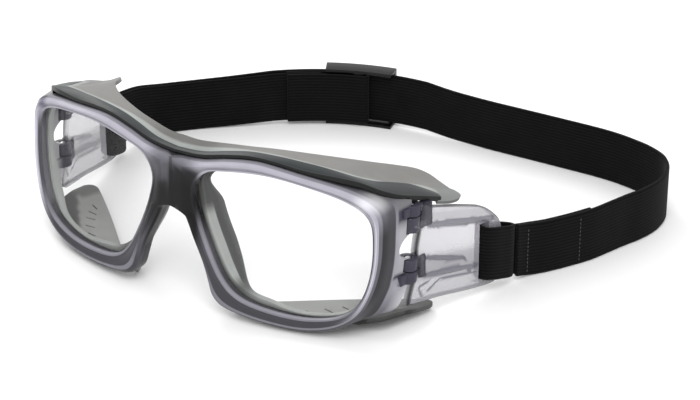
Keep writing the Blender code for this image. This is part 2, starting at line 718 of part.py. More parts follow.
def end_loop_mesh():
    """The sewn end of the strap, folded round the slider's centre bar."""
    near, far = BAR_REACH - BAR_THICK - GAP - END_PLY / 2, BAR_REACH + GAP + END_PLY / 2
    turn, middle = (far - near) / 2, (far + near) / 2
    start = SLIDER_MIDDLE - BAR_HALF
    legs_end = SLIDER_MIDDLE + LEG_LENGTH
    path = bend_path(legs_end, start, 6, near)
    for i in range(1, 6):
        swing = math.pi * i / 6
        back = math.degrees(turn * math.sin(swing) / BEND_RADIUS)
        path.append((*bend_point(start - back, middle - turn * math.cos(swing)), BEND_LIFT))
    path += bend_path(start, legs_end, 6, far)
    return band("strap_end_loop", path, thickness=END_PLY)


def strap(kit):
    kit.add("strap_webbing", band("strap_webbing", strap_path()), "strap")
    pair(kit, "strap_loop", strap_loop_mesh(), "strap")
    path = far_path(SLIDER_MIDDLE + RETURN_START, 6)
    inner = eased(path, BAR_REACH - BAR_THICK / 2, STRAP_THICK + GAP, 5, 12)
    kit.add("strap_return", band("strap_return", inner, thickness=RETURN_THICK), "strap")
    sewn = [(x, y, max(z, 0.0)) for x, y, z in spline(NEAR_RUN[:5], 3)]
    tail = band("strap_sewn_end", sewn, STRAP_THICK + GAP, width=STRAP_WIDTH - 0.7, lift=0.2)
    kit.add("strap_sewn_end", tail, "strap")
    kit.add("strap_end_loop", end_loop_mesh(), "strap")
    kit.add("strap_slider", slider_mesh(kit), "slider")


def build():
    kit = Kit()
    front_frame(kit)
    pair(kit, "lens", lens_mesh(), "clear")
    pair(kit, "eye_gasket", gasket_mesh(), "grey")
    pair(kit, "cheek_guard", cheek_guard_mesh(), "grey")
    kit.add("nose_pad", nose_pad_mesh(), "dark")
    kit.add("brow_strip", brow_strip_mesh(), "dark")
    kit.add("brow_shield", brow_shield_mesh(), "grey")
    pair(kit, "temple", temple_mesh(kit), "temple")
    pair(kit, "upper_hinge_pin", pin_mesh(UPPER_TEMPLE_EAR[0], UPPER_FRAME_EAR[1]), "steel")
    pair(kit, "lower_hinge_pin", pin_mesh(LOWER_FRAME_EAR[0], LOWER_TEMPLE_EAR[1]), "steel")
    strap(kit)


build()
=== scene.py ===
"""The look of the sports protective goggles: smooth, detailed pieces and procedural materials round the
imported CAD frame. Lengths are in millimetres in the goggles' own axes (X towards the wearer's left, Y to the
rear, Z up from the floor), and CENTRE takes them to the row's frame."""

import math

import bmesh
import bpy
from mathutils import Matrix, Vector, kdtree


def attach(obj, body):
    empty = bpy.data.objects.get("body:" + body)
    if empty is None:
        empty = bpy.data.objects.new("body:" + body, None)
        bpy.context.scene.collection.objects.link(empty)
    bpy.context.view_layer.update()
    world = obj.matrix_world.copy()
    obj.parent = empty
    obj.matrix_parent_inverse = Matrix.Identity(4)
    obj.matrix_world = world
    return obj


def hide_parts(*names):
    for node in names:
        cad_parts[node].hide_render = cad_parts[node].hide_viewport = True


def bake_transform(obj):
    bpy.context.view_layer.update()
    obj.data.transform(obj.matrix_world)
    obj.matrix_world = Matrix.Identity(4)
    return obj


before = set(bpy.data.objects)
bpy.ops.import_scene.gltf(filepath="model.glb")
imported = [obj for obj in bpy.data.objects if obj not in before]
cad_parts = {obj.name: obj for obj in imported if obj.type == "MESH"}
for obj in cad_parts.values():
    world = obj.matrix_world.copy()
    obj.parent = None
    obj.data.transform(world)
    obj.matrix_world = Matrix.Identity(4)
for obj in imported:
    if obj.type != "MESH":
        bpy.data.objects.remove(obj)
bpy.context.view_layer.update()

MM = 0.001
CENTRE = Vector((9.25, 72.2, 0.0))
TO_ROW = Matrix.Scale(MM, 4) @ Matrix.Translation(-CENTRE)

# Shapes that the pieces share ---------------------------------------

FACE_RADIUS, FACE_LEAN, FACE_Z = 163.0, 0.067, 44.0
EYE_CENTRE = (36.0, 28.0)
OPENING = (
    (8, 40), (12, 45.6), (20, 47.8), (32, 49), (44, 47.9), (56, 45), (62.6, 40.4),
    (64.2, 32), (63.6, 21.5), (61, 13.4), (56, 8.2), (46, 5.6), (34, 5.8), (24, 7.8),
    (18, 12.8), (13, 22), (9.2, 31.8),
)
UNDERSIDE = (
    (0, 32.2), (3.6, 31), (7.3, 23.8), (11, 16.4), (12.9, 10.4), (14.6, 5.8), (18.6, 2.8),
    (28, 1.2), (38, 0.6), (46, 0.9), (53, 2.6), (58.2, 5.6), (62.4, 10.2), (65.3, 17.5),
    (66.9, 26), (67.1, 35), (66.9, 40), (66.3, 42.6),
)
BROW_LINE = (
    (66.3, 42.6), (64.9, 44.4), (62, 46.4), (58, 48), (52, 49.5), (42, 51), (32, 52.3),
    (26, 52.3), (18, 51), (10, 49), (0, 48.3),
)
RIM_DEPTH, LIP_DEPTH, REBATE = 5.7, 1.9, 1.3
WALL_X, WALL_FLARE, WALL_THICK = 62.2, 0.243, 2.2
WALL_REAR, WALL_LOW, WALL_HIGH = 26.4, 7.2, 42.9
HINGE = Vector((67.3, 26.9, 28.5))
HINGE_TILT = math.atan(0.073)
STATIONS = 150


def face_y(x, z):
    return x * x / (2 * FACE_RADIUS) + FACE_LEAN * (z - FACE_Z)


def wall_x(y):
    return WALL_X + WALL_FLARE * y


def ease(low, high, value):
    """From 0 at low to 1 at high, with a smooth start and end."""
    t = min(1.0, max(0.0, (value - low) / (high - low)))
    return t * t * (3 - 2 * t)


def bump_at(value, middle, half):
    """1 at the middle, falling smoothly to 0 at half either side."""
    return 1 - ease(0, half, abs(value - middle))


def spline(points, steps, closed=False):
    """A Catmull-Rom curve through points of any dimension, with steps to each span."""
    count = len(points)
    curve = []
    for i in range(count if closed else count - 1):
        near = range(i - 1, i + 3)
        quad = [points[k % count] if closed else points[min(max(k, 0), count - 1)] for k in near]
        for step in range(steps):
            t = step / steps
            weights = (
                (-t + 2 * t * t - t ** 3) / 2,
                (2 - 5 * t * t + 3 * t ** 3) / 2,
                (t + 4 * t * t - 3 * t ** 3) / 2,
                (t ** 3 - t * t) / 2,
            )
            curve.append(tuple(sum(w * c for w, c in zip(weights, axis)) for axis in zip(*quad)))
    if not closed:
        curve.append(tuple(points[-1]))
    return curve


def reach(outline, angle, centre=EYE_CENTRE):
    """Distance from centre to a closed outline, along a direction."""
    dx, dz = math.cos(angle), math.sin(angle)
    best = 0.0
    for (ax, az), (bx, bz) in zip(outline, outline[1:] + outline[:1]):
        ux, uz = ax - centre[0], az - centre[1]
        vx, vz = bx - ax, bz - az
        across = dx * vz - dz * vx
        if abs(across) < 1e-9:
            continue
        share = (dz * ux - dx * uz) / across
        far = (ux * vz - uz * vx) / across
        if -1e-7 <= share <= 1 + 1e-7 and far > best:
            best = far
    return best


OPENING_CURVE = spline(OPENING, 10, closed=True)
OUTER_CURVE = spline(UNDERSIDE, 10)[:-1] + spline(BROW_LINE, 10)


def station_angles():
    """Directions around one eye, with one at each end of the stretch that lies on the mid-plane."""
    bridge = [math.atan2(z - EYE_CENTRE[1], -EYE_CENTRE[0]) for z in (BROW_LINE[-1][1], UNDERSIDE[0][1])]
    inner = [bridge[0] + (bridge[1] - bridge[0]) * i / 8 for i in range(9)]
    rest = bridge[0] + 2 * math.pi - bridge[1]
    outer = [bridge[1] + rest * (i + 1) / STATIONS for i in range(STATIONS - 1)]
    return inner + outer


ANGLES = station_angles()
INNER_REACH = [reach(OPENING_CURVE, angle) for angle in ANGLES]
OUTER_REACH = [reach(OUTER_CURVE, angle) for angle in ANGLES]


def opening_point(index, out):
    """X and Z of a point that lies out from the lens opening's edge, at one station."""
    far = INNER_REACH[index] + out
    return EYE_CENTRE[0] + far * math.cos(ANGLES[index]), EYE_CENTRE[1] + far * math.sin(ANGLES[index])


def rim_width(index):
    return OUTER_REACH[index] - INNER_REACH[index]


def rebate_at(index):
    return min(REBATE, 0.45 * rim_width(index))


# Making pieces ------------------------------------------------------


def add_object(name, data):
    """A new object in the scene."""
    made = bpy.data.objects.new(name, data)
    bpy.context.scene.collection.objects.link(made)
    return made


def mesh_from(name, points, faces):
    mesh = bpy.data.meshes.new(name)
    mesh.from_pydata([TO_ROW @ Vector(p) for p in points], [], faces)
    return mesh


def face_out(shape):
    bmesh.ops.recalc_face_normals(shape, faces=shape.faces)
    if shape.calc_volume(signed=True) < 0:
        bmesh.ops.reverse_faces(shape, faces=shape.faces)


def turn_out(mesh):
    """Turns a mesh's faces outwards."""
    shape = bmesh.new()
    shape.from_mesh(mesh)
    face_out(shape)
    shape.to_mesh(mesh)
    shape.free()


def shade(piece, sharp):
    """Smooth shading, with a crease at each edge sharper than an angle in degrees."""
    piece.data.shade_smooth()
    piece.data.set_sharp_from_angle(angle=math.radians(sharp))


def only_material(piece, material):
    piece.data.materials.clear()
    piece.data.materials.append(material)
    return piece


def object_from(name, points, faces, material, tones=None, uvs=None, sharp=40):
    """A piece from points in millimetres. tones are a value for each point that its material reads."""
    mesh = mesh_from(name, points, faces)
    if tones:
        store_tones(mesh, tones)
    if uvs:
        layer = mesh.uv_layers.new(name="UVMap")
        for loop in mesh.loops:
            layer.data[loop.index].uv = uvs[loop.vertex_index]
    turn_out(mesh)
    mesh.materials.append(material)
    piece = add_object(name, mesh)
    shade(piece, sharp)
    return piece


def store_tones(mesh, tones):
    if "tone" in mesh.attributes:
        mesh.attributes.remove(mesh.attributes["tone"])
    attribute = mesh.color_attributes.new("tone", "FLOAT_COLOR", "POINT")
    for index, tone in enumerate(tones):
        tone = tone if isinstance(tone, tuple) else (tone, tone, tone)
        attribute.data[index].color = (*tone, 1.0)


ARC_POINTS = 4


def ring_faces(size, count, closed=False):
    """The faces between count rings of size points, with a cap at each end unless the rings close up."""
    faces = []
    for i in range(count if closed else count - 1):
        for j in range(size):
            a, b = i * size + j, i * size + (j + 1) % size
            shift = ((i + 1) % count) * size
            faces.append((a, b, shift + (j + 1) % size, shift + j))
    if not closed:
        faces.append(tuple(range(size)))
        faces.append(tuple(range((count - 1) * size, count * size)))
    return faces


def loft(name, rings, material, closed=False, tones=None, uvs=None, sharp=40):
    flat = [p for ring in rings for p in ring]
    toned = [t for ring in tones for t in ring] if tones else None
    mapped = [t for ring in uvs for t in ring] if uvs else None
    faces = ring_faces(len(rings[0]), len(rings), closed)
    return object_from(name, flat, faces, material, toned, mapped, sharp)


def rounded(corners, radii):
    """A closed 3D polygon with each corner rounded off by its own radius, into ARC_POINTS points."""
    count = len(corners)
    points = []
    for i in range(count):
        before, here, after = (Vector(corners[k % count]) for k in (i - 1, i, i + 1))
        back, on = before - here, after - here
        start = here + back * min(0.45, radii[i] / max(back.length, 1e-6))
        end = here + on * min(0.45, radii[i] / max(on.length, 1e-6))
        for step in range(ARC_POINTS):
            t = step / (ARC_POINTS - 1)
            points.append(tuple(start * (1 - t) ** 2 + here * 2 * t * (1 - t) + end * t * t))
    return points


def mirror_copy(piece, name):
    """A piece's mirror image across the face's mid-plane."""
    mesh = piece.data.copy()
    middle = -CENTRE.x * MM
    mesh.transform(Matrix.Translation((2 * middle, 0, 0)) @ Matrix.Diagonal((-1, 1, 1, 1)))
    mesh.flip_normals()
    return add_object(name, mesh)


def modified(piece, kind, **settings):
    """Applies one modifier to a piece."""
    step = piece.modifiers.new(kind, kind)
    for key, value in settings.items():
        setattr(step, key, value)
    bpy.context.view_layer.update()
    solid = bpy.data.meshes.new_from_object(piece.evaluated_get(bpy.context.evaluated_depsgraph_get()))
    piece.modifiers.clear()
    piece.data = solid
    return piece


def join_cut(piece, steps):
    """Joins (UNION) or cuts (DIFFERENCE) the piece with each tool in turn. The tools are removed."""
    for operation, tool in steps:
        modified(piece, "BOOLEAN", operation=operation, object=tool, solver="EXACT")
        bpy.data.objects.remove(tool)
    return piece


def finished(piece, body, node, sharp=None):
    """Sets a piece on its body, in place of its CAD node."""
    if sharp is not None:
        shade(piece, sharp)
    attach(piece, body)
    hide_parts(node)


def round_edges(shape, edges, offset):
    bmesh.ops.bevel(shape, geom=edges, offset=offset, segments=3, affect="EDGES", profile=0.5)


def box_tool(low, high, matrix=None, bevel=0.0):
    low, high = Vector(low), Vector(high)
    shape = bmesh.new()
    bmesh.ops.create_cube(shape, size=1.0)
    bmesh.ops.scale(shape, vec=high - low, verts=shape.verts)
    bmesh.ops.translate(shape, vec=(low + high) / 2, verts=shape.verts)
    if bevel:
        round_edges(shape, shape.edges[:] + shape.verts[:], bevel)
    return tool_object(shape, matrix or Matrix.Identity(4))


def drum_tool(radius, low, high, sides=40, matrix=None, bevel=0.0):
    shape = bmesh.new()
    bmesh.ops.create_cone(
        shape, cap_ends=True, segments=sides, radius1=radius, radius2=radius, depth=high - low,
        matrix=Matrix.Translation((0, 0, (low + high) / 2)),
    )
    if bevel:
        rims = [e for e in shape.edges if abs(e.verts[0].co.z - e.verts[1].co.z) < 1e-6]
        round_edges(shape, rims, bevel)
    return tool_object(shape, matrix or hinge_matrix())


def tool_object(shape, matrix):
    mesh = bpy.data.meshes.new("tool")
    shape.transform(TO_ROW @ matrix)
    face_out(shape)
    shape.to_mesh(mesh)
    shape.free()
    return add_object("tool", mesh)


def hinge_matrix():
    return Matrix.Translation(HINGE) @ Matrix.Rotation(-HINGE_TILT, 4, "X")


# Materials ----------------------------------------------------------


class Nodes:
    """Short calls for building one material's node tree."""

    def __init__(self, name, roughness=0.4, **sockets):
        self.material = bpy.data.materials.new(name)
        self.material.use_nodes = True
        self.tree = self.material.node_tree
        self.shader = self.tree.nodes["Principled BSDF"]
        self.shader.inputs["Roughness"].default_value = roughness
        for key, value in sockets.items():
            self.shader.inputs[key.replace("_", " ")].default_value = value

    def node(self, kind, **settings):
        made = self.tree.nodes.new("ShaderNode" + kind)
        for key, value in settings.items():
            setattr(made, key, value)
        return made

    def link(self, output, target):
        self.tree.links.new(output, target)

    def place(self, scale=(1.0, 1.0, 1.0), source="Object"):
        coordinates = self.node("TexCoord")
        mapping = self.node("Mapping")
        mapping.inputs["Scale"].default_value = scale
        self.link(coordinates.outputs[source], mapping.inputs["Vector"])
        return mapping.outputs["Vector"]

    def noise(self, size, detail=3.0, stretch=(1.0, 1.0, 1.0)):
        made = self.node("TexNoise")
        made.inputs["Scale"].default_value = 1.0 / (size * MM)
        made.inputs["Detail"].default_value = detail
        self.link(self.place(stretch), made.inputs["Vector"])
        return made.outputs["Fac"]

    def ramp(self, value, *stops):
        """Each stop is a position and a colour, or a position and a grey."""
        made = self.node("ValToRGB")
        while len(made.color_ramp.elements) < len(stops):
            made.color_ramp.elements.new(0.5)
        for element, (position, colour) in zip(made.color_ramp.elements, stops):
            element.position = position
            element.color = (*(colour if isinstance(colour, tuple) else (colour,) * 3), 1.0)
        self.link(value, made.inputs["Fac"])
        return made.outputs["Color"]

    def maths(self, operation, a, b):
        """b is a number or an output."""
        made = self.node("Math", operation=operation)
        self.link(a, made.inputs[0])
        if isinstance(b, float):
            made.inputs[1].default_value = b
        else:
            self.link(b, made.inputs[1])
        return made.outputs["Value"]

    def multiply(self, a, b):
        made = self.node("Mix", data_type="RGBA", blend_type="MULTIPLY")
        made.inputs["Factor"].default_value = 1.0
        self.link(a, made.inputs[6])
        self.link(b, made.inputs[7])
        return made.outputs[2]

    def tone(self, output="Color"):
        return self.node("Attribute", attribute_name="tone").outputs[output]

    def bump(self, height, distance, strength=1.0):
        made = self.node("Bump")
        made.inputs["Strength"].default_value = strength
        made.inputs["Distance"].default_value = distance * MM
        self.link(height, made.inputs["Height"])
        self.link(made.outputs["Normal"], self.shader.inputs["Normal"])

    def colour(self, output):
        self.link(output, self.shader.inputs["Base Color"])


def moulded(name, roughness, grain=0.35, depth=0.008, **sockets):
    """Moulded plastic: its tone comes from the mesh, with a fine grain and faint mottling."""
    kit = Nodes(name, roughness, **sockets)
    mottle = kit.ramp(kit.noise(6.0, 4.0), (0.3, 0.9), (0.7, 1.0))
    # The tone from the mesh is the plastic's colour together with painted light and shade.
    kit.colour(kit.multiply(kit.tone(), mottle))
    kit.bump(kit.noise(grain, 2.0), depth)
    return kit.material


def clear_plastic(name, alpha, roughness, **sockets):
    """See-through plastic, denser where its tone is darker."""
    kit = Nodes(name, roughness, **sockets)
    kit.colour(kit.tone())
    faint = kit.ramp(kit.tone("Fac"), (0.0, 0.97), (0.45, alpha), (1.0, alpha * 0.7))
    kit.link(faint, kit.shader.inputs["Alpha"])
    kit.bump(kit.noise(3.0, 2.0), 0.01)
    return kit.material


CORD_PITCH, KNIT_PITCH = 1.1, 0.55
WAVE_STEP = 2 * math.pi / 20  # the length over which a Wave texture of scale 1 repeats


def webbing(name):
    """Black elastic: lengthwise cords with a fine crosswise knit. U runs along, V across, in metres."""
    kit = Nodes(name, 0.9, Sheen_Weight=0.03, Sheen_Roughness=0.5, Specular_IOR_Level=0.08)

    def waves(direction, scale, distortion):
        made = kit.node("TexWave", wave_type="BANDS", bands_direction=direction, wave_profile="SIN")
        made.inputs["Scale"].default_value = 1.0
        made.inputs["Distortion"].default_value = distortion
        kit.link(kit.place(scale, "UV"), made.inputs["Vector"])
        return made.outputs["Fac"]

    cords = waves("Y", (1.0, WAVE_STEP / (CORD_PITCH * MM), 1.0), 0.0)
    knit = kit.maths("MULTIPLY", waves("X", (WAVE_STEP / (KNIT_PITCH * MM), 1.0, 1.0), 0.6), 0.35)
    fuzz = kit.maths("MULTIPLY", kit.noise(0.25, 3.0), 0.4)
    height = kit.maths("ADD", kit.maths("ADD", cords, knit), fuzz)
    # Darkest in the grooves and lighter on the raised cord tops.
    darkest, dark, cord_top = (0.001, 0.001, 0.0011), (0.003, 0.003, 0.0033), (0.006, 0.006, 0.0064)
    base = kit.ramp(height, (0.2, darkest), (0.9, dark), (1.0, cord_top))
    patchy = kit.ramp(kit.noise(9.0, 3.0), (0.3, 0.8), (0.75, 1.15))
    kit.colour(kit.multiply(base, patchy))
    kit.bump(height, 0.06, 0.8)
    return kit.material


def thread_material():
    kit = Nodes("thread", 0.7, Sheen_Weight=0.3)
    twist = kit.noise(0.12, 1.0)
    kit.colour(kit.ramp(twist, (0.3, (0.01, 0.01, 0.011)), (0.7, (0.04, 0.04, 0.042))))
    kit.bump(twist, 0.04)
    return kit.material


def steel_material():
    kit = Nodes("hinge_steel", 0.3, Metallic=1.0)
    streak = kit.noise(0.3, 3.0, (1.0, 1.0, 0.08))
    kit.colour(kit.ramp(streak, (0.3, (0.42, 0.42, 0.43)), (0.7, (0.66, 0.66, 0.67))))
    kit.bump(streak, 0.004)
    return kit.material


SMOKE = moulded(
    "smoke_plastic", 0.27, 1.2, 0.002, Coat_Weight=0.04, Coat_Roughness=0.1, Specular_IOR_Level=0.12,
)
SOFT = moulded("soft_plastic", 0.55, depth=0.012, Specular_IOR_Level=0.3)
DARK = moulded("dark_soft_plastic", 0.45, depth=0.01, Specular_IOR_Level=0.3)
BLACK = moulded("slider_plastic", 0.32, depth=0.008, Specular_IOR_Level=0.25)
TEMPLE_PLASTIC = clear_plastic("tinted_plastic", 0.42, 0.15, Specular_IOR_Level=0.22)
LENS = clear_plastic("clear_lens", 0.02, 0.03)
STRAP = webbing("elastic_webbing")
THREAD = thread_material()
STEEL = steel_material()


# Frame --------------------------------------------------------------


def rim_section(index):
    """The frame's section at one station, from the lip round to the rebate, with each corner's roundness."""
    width = rim_width(index)
    outer = opening_point(index, width)
    on_mid_plane = outer[0] < 1e-3
    inner_depth = face_y(*opening_point(index, 0.0))
    outer_depth = face_y(*outer)

    def at(out, depth):
        x, z = opening_point(index, out)
        base = inner_depth + (outer_depth - inner_depth) * out / width
        return (0.0 if on_mid_plane and out == width else x, base + depth, z)

    side = ease(54, 62.5, outer[0]) if outer[1] < 28 else ease(58, 65, outer[0])
    rear_z = outer[1] + side * (min(max(outer[1], WALL_LOW), WALL_HIGH) - outer[1])
    wall_rear = WALL_REAR - 0.55 * max(0.0, 17.0 - rear_z)
    rear_y = outer_depth + RIM_DEPTH + side * (wall_rear - outer_depth - RIM_DEPTH)
    rear_x = outer[0] + side * (wall_x(rear_y) - outer[0])
    rebate = rebate_at(index)
    back = at(rebate, RIM_DEPTH)
    shelf = WALL_THICK + 5.5 * ease(41.0, 42.6, rear_z) * side
    inward = (
        back[0] + side * (rear_x - shelf - back[0]),
        back[1] + side * (rear_y - back[1]),
        back[2] + side * (rear_z - back[2]),
    )
    edge = (-0.3, -0.3) if on_mid_plane else (0.25, 1.5)
    lip = min(0.8, width * 0.22)
    rim_edge = Vector(at(width, edge[1]))
    wall_edge = Vector((0.0 if on_mid_plane else rear_x, rear_y, rear_z))
    return [
        at(0.0, LIP_DEPTH),
        at(0.0, 0.75),
        at(lip * 0.55, 0.25),
        at(lip * 1.35, 0.62),
        at(width * 0.42, -0.25),
        at(width * 0.68, -0.3),
        at(width - min(1.2, width * 0.25), edge[0]),
        at(width, edge[1]),
        tuple(rim_edge.lerp(wall_edge, 0.3)),
        tuple(rim_edge.lerp(wall_edge, 0.5)),
        tuple(wall_edge),
        inward,
        at(rebate, LIP_DEPTH),
    ]


RIM_SOFTNESS = (0.12, 0.35, 0.3, 0.35, 1.4, 1.4, 0.8, 0.6, 1.0, 1.0, 0.4, 0.3, 0.1)
RIM_EDGE = 7  # the section's corner at the rim's outer edge

# The smoke plastic's lightness round the frame's section, from the lip to the rebate, on each side of an eye:
# its colour with painted light and shade, lighter on the top, darker on the bottom and with painted
# highlights on the lip and across the face
TONES = {
    "top": (0.16, 0.46, 0.4, 0.26, 0.3, 0.38, 0.4, 0.22, 0.1, 0.08, 0.1, 0.12, 0.2),
    "outer": (0.1, 0.09, 0.07, 0.4, 0.6, 0.36, 0.12, 0.028, 0.045, 0.3, 0.38, 0.25, 0.3),
    "bottom": (0.2, 0.26, 0.2, 0.06, 0.055, 0.2, 0.05, 0.09, 0.03, 0.04, 0.05, 0.06, 0.08),
    "nose": (0.2, 0.26, 0.2, 0.08, 0.055, 0.07, 0.11, 0.03, 0.025, 0.03, 0.04, 0.06, 0.15),
}


def frame_tone(index, corner, point):
    """The smoke plastic's colour: pale where it is thin and dark where it is thicker, with painted light
    where it faces up, painted shade under the bridge and a darker top to the bridge.
    """
    x, _, z = point
    up, out = math.sin(ANGLES[index]), math.cos(ANGLES[index])
    top = ease(0.2, 0.62, up)
    bottom = ease(0.3, 0.8, -up) * (1 - top)
    rest = 1 - top - bottom
    outer = rest * ease(-0.2, 0.2, out)
    share = {"top": top, "bottom": bottom, "outer": outer, "nose": rest - outer}
    tone = sum(TONES[side][corner] * weight for side, weight in share.items())
    # Painted shade under the bridge and low down by the nose; the bridge's top is darker too.
    bridge = ease(13.0, 7.0, x)
    tone *= 1 - 0.6 * bridge * ease(47.5, 44.0, z)
    tone *= 1 - 0.4 * bridge * ease(40.0, 35.0, z)
    tone *= 1 - 0.5 * ease(11.0, 5.0, x) * ease(43.0, 46.0, z)
    return (tone * 0.98, tone * 0.95, tone * 1.09)


def frame_piece():
    """The rings round the left eye, closed up and mirrored into one shell."""
    rings, tones = [], []
    for index in range(len(ANGLES)):
        corners = rim_section(index)
        ring = rounded(corners, RIM_SOFTNESS)
        before, here, after = (Vector(corners[RIM_EDGE + k]) for k in (-1, 0, 1))
        if here.x < 1e-3:
            straight = (here.lerp(before, 0.5), here.lerp(before, 0.25), here, here.lerp(after, 0.1))
            ring[RIM_EDGE * ARC_POINTS:(RIM_EDGE + 1) * ARC_POINTS] = [tuple(p) for p in straight]
        rings.append(ring)
        tones += [frame_tone(index, k // ARC_POINTS, p) for k, p in enumerate(ring)]
    points = [p for ring in rings for p in ring]
    faces = ring_faces(len(rings[0]), len(rings), closed=True)
    faces = [face for face in faces if any(points[k][0] >= 1e-4 for k in face)]
    piece = add_object("frame_shell", mesh_from("front_frame_shell", points, faces))
    store_tones(piece.data, tones)
    piece.data.materials.append(SMOKE)
    middle = add_object("mid_plane", None)
    middle.location = (-CENTRE.x * MM, 0, 0)
    modified(piece, "MIRROR", mirror_object=middle, merge_threshold=0.00003)
    bpy.data.objects.remove(middle)
    turn_out(piece.data)
    return piece


UPPER_FRAME_EAR, UPPER_TEMPLE_EAR = (8.9, 12.4), (3.7, 8.6)
LOWER_TEMPLE_EAR, LOWER_FRAME_EAR = (-8.8, -5.0), (-12.9, -9.1)
EAR_RADIUS, EAR_ROOM, PIN_BORE, PIN_RADIUS = 3.0, (0.4, 0.3), 1.15, 0.85
FRAME_ARM, TEMPLE_ARM = ((-2.0, -5.3), (1.6, 0.4)), ((-1.15, 0.0), (1.75, 4.43))
WINDOW_MIDDLE, WINDOW_HALF = (67.0, 28.2, 27.9), (4.4, 7.2)
EAR_TONE = (0.045, 0.042, 0.06)


def hinge_place(point):
    """A point's radius from the hinge's axis and height along it. Both sides use the left hinge."""
    local = hinge_matrix().inverted() @ Vector((abs(point[0]), point[1], point[2]))
    return math.hypot(local.x, local.y), local.z


def both_sides(tool):
    twin = mirror_copy(tool, "tool_twin")
    return [tool, twin]


def ear_solids(low, high, arm_low, arm_high):
    """The solids of one hinge ear: a bevelled drum and the arm that joins it to its plate."""
    drum = drum_tool(EAR_RADIUS, low, high, 48, bevel=0.45)
    arm = box_tool((*arm_low, low + 0.21), (*arm_high, high - 0.23), hinge_matrix(), bevel=0.4)
    return [drum, arm]


def room_for(low, high):
    """The clear space that an ear of the other part turns in."""
    return drum_tool(EAR_RADIUS + EAR_ROOM[0], low - EAR_ROOM[1], high + EAR_ROOM[1], 48)


def retone(piece, sources, change):
    """Gives each point the nearest source's tone, then lets change(point, tone) alter it."""
    tree = kdtree.KDTree(len(sources))
    for index, (place, _) in enumerate(sources):
        tree.insert(place, index)
    tree.balance()
    back = TO_ROW.inverted()
    tones = [change(back @ v.co, sources[tree.find(v.co)[1]][1]) for v in piece.data.vertices]
    store_tones(piece.data, tones)


def tones_of(piece):
    layer = piece.data.attributes["tone"].data
    return [(v.co.copy(), tuple(layer[v.index].color)[:3]) for v in piece.data.vertices]


def frame_touch(point, tone):
    """Darkens the hinge knuckles, paints shade on the bridge, a highlight on the near top outer corner and
    shade on the far one, and pales the thin side wall between the knuckles.
    """
    radius, height = hinge_place(point)
    left, y, z = point
    x = abs(left)
    for low, high in (UPPER_FRAME_EAR, LOWER_FRAME_EAR):
        proud = radius < EAR_RADIUS + 0.3 or (radius < 7.0 and x > wall_x(y) + 0.1)
        if proud and low - 0.2 < height < high + 0.2:
            return EAR_TONE
    # Painted shade on the near half of the bridge, and low on its far half by the nose.
    bridge_shade = ease(-2.5, 1.0, left) * ease(10.6, 8.4, left) * ease(47.0, 44.5, z)
    notch_shade = ease(-6.5, -5.0, left) * ease(2.0, 0.0, left) * ease(40.5, 39.0, z)
    bridge_shade = max(bridge_shade, 0.75 * notch_shade)
    # A painted highlight on the top outer corner of the near side, and painted shade at the same place on the
    # far side.
    corner = bump_at(z, 45.6, 4.0) * ease(57, 62, x) * ease(20, 16, y)
    lift = 0.3 * corner if left > 0 else -0.3 * corner
    tone = tuple(max(0.008, c * (1 - 0.85 * bridge_shade) + lift) for c in tone)
    wall = ease(19.0, 22.0, y) * ease(60, 63, x)
    thin = 0.36 + 0.12 * bump_at(z, 12, 8) - 0.2 * ease(34, 38, z)
    return tuple(c + (thin * tint - c) * wall for c, tint in zip(tone, (1.0, 0.985, 1.05)))


def whole_frame():
    shell = frame_piece()
    sources = tones_of(shell)
    steps = []
    for ear in (UPPER_TEMPLE_EAR, LOWER_TEMPLE_EAR):
        steps += [("DIFFERENCE", tool) for tool in both_sides(room_for(*ear))]
    for ear in (UPPER_FRAME_EAR, LOWER_FRAME_EAR):
        for solid in ear_solids(*ear, *FRAME_ARM):
            steps += [("UNION", tool) for tool in both_sides(solid)]
    place = Matrix.Translation(WINDOW_MIDDLE) @ Matrix.Rotation(math.pi / 2, 4, "Y")
    window = drum_tool(1.0, -7, 7, 56, place @ Matrix.Diagonal((*WINDOW_HALF, 1, 1)))
    bore = drum_tool(PIN_BORE, -16, 17, 32)
    steps += [("DIFFERENCE", tool) for cut in (window, bore) for tool in both_sides(cut)]
    join_cut(shell, steps)
    retone(shell, sources, frame_touch)
    return only_material(shell, SMOKE)


# Lenses, gaskets and soft parts -------------------------------------


LENS_FRONT, LENS_BACK, LENS_GAP = 2.2, 4.2, 0.3


def lens_piece():
    """A curved plate with a small bevel round its edge."""
    stations = range(0, len(ANGLES), 2)
    shares = (1.0, 0.985, 0.9, 0.72, 0.5, 0.25, 0.04)
    layers = [(share, LENS_FRONT) for share in shares] + [(share, LENS_BACK) for share in shares[::-1]]
    points, tones = [], []
    for share, depth in layers:
        bevel = 0.3 if share == 1.0 else 0.0
        for index in stations:
            x, z = opening_point(index, rebate_at(index) - LENS_GAP)
            px = EYE_CENTRE[0] + (x - EYE_CENTRE[0]) * share
            pz = EYE_CENTRE[1] + (z - EYE_CENTRE[1]) * share
            points.append((px, face_y(px, pz) + depth + (bevel if depth == LENS_FRONT else -bevel), pz))
            tones.append(0.55 if share > 0.98 else 1.0)
    size = len(stations)
    around = ring_faces(size, len(layers), closed=True)
    front = (len(shares) - 1) * size
    faces = around[:front] + around[front + size:]
    faces += [tuple(range(front, front + size)), tuple(range(front + size, front + 2 * size))]
    return object_from("lens_left", points, faces, LENS, tones)


def gasket_rear(index):
    x, z = opening_point(index, 0.0)
    nose = ease(27, 13, x) * ease(43, 32, z)
    cheek = ease(50, 60, x) * ease(30, 14, z)
    return 6.3 + 5.2 * nose + 1.4 * cheek + 0.9 * ease(56, 63, x)


GASKET_SEAT = 4.5
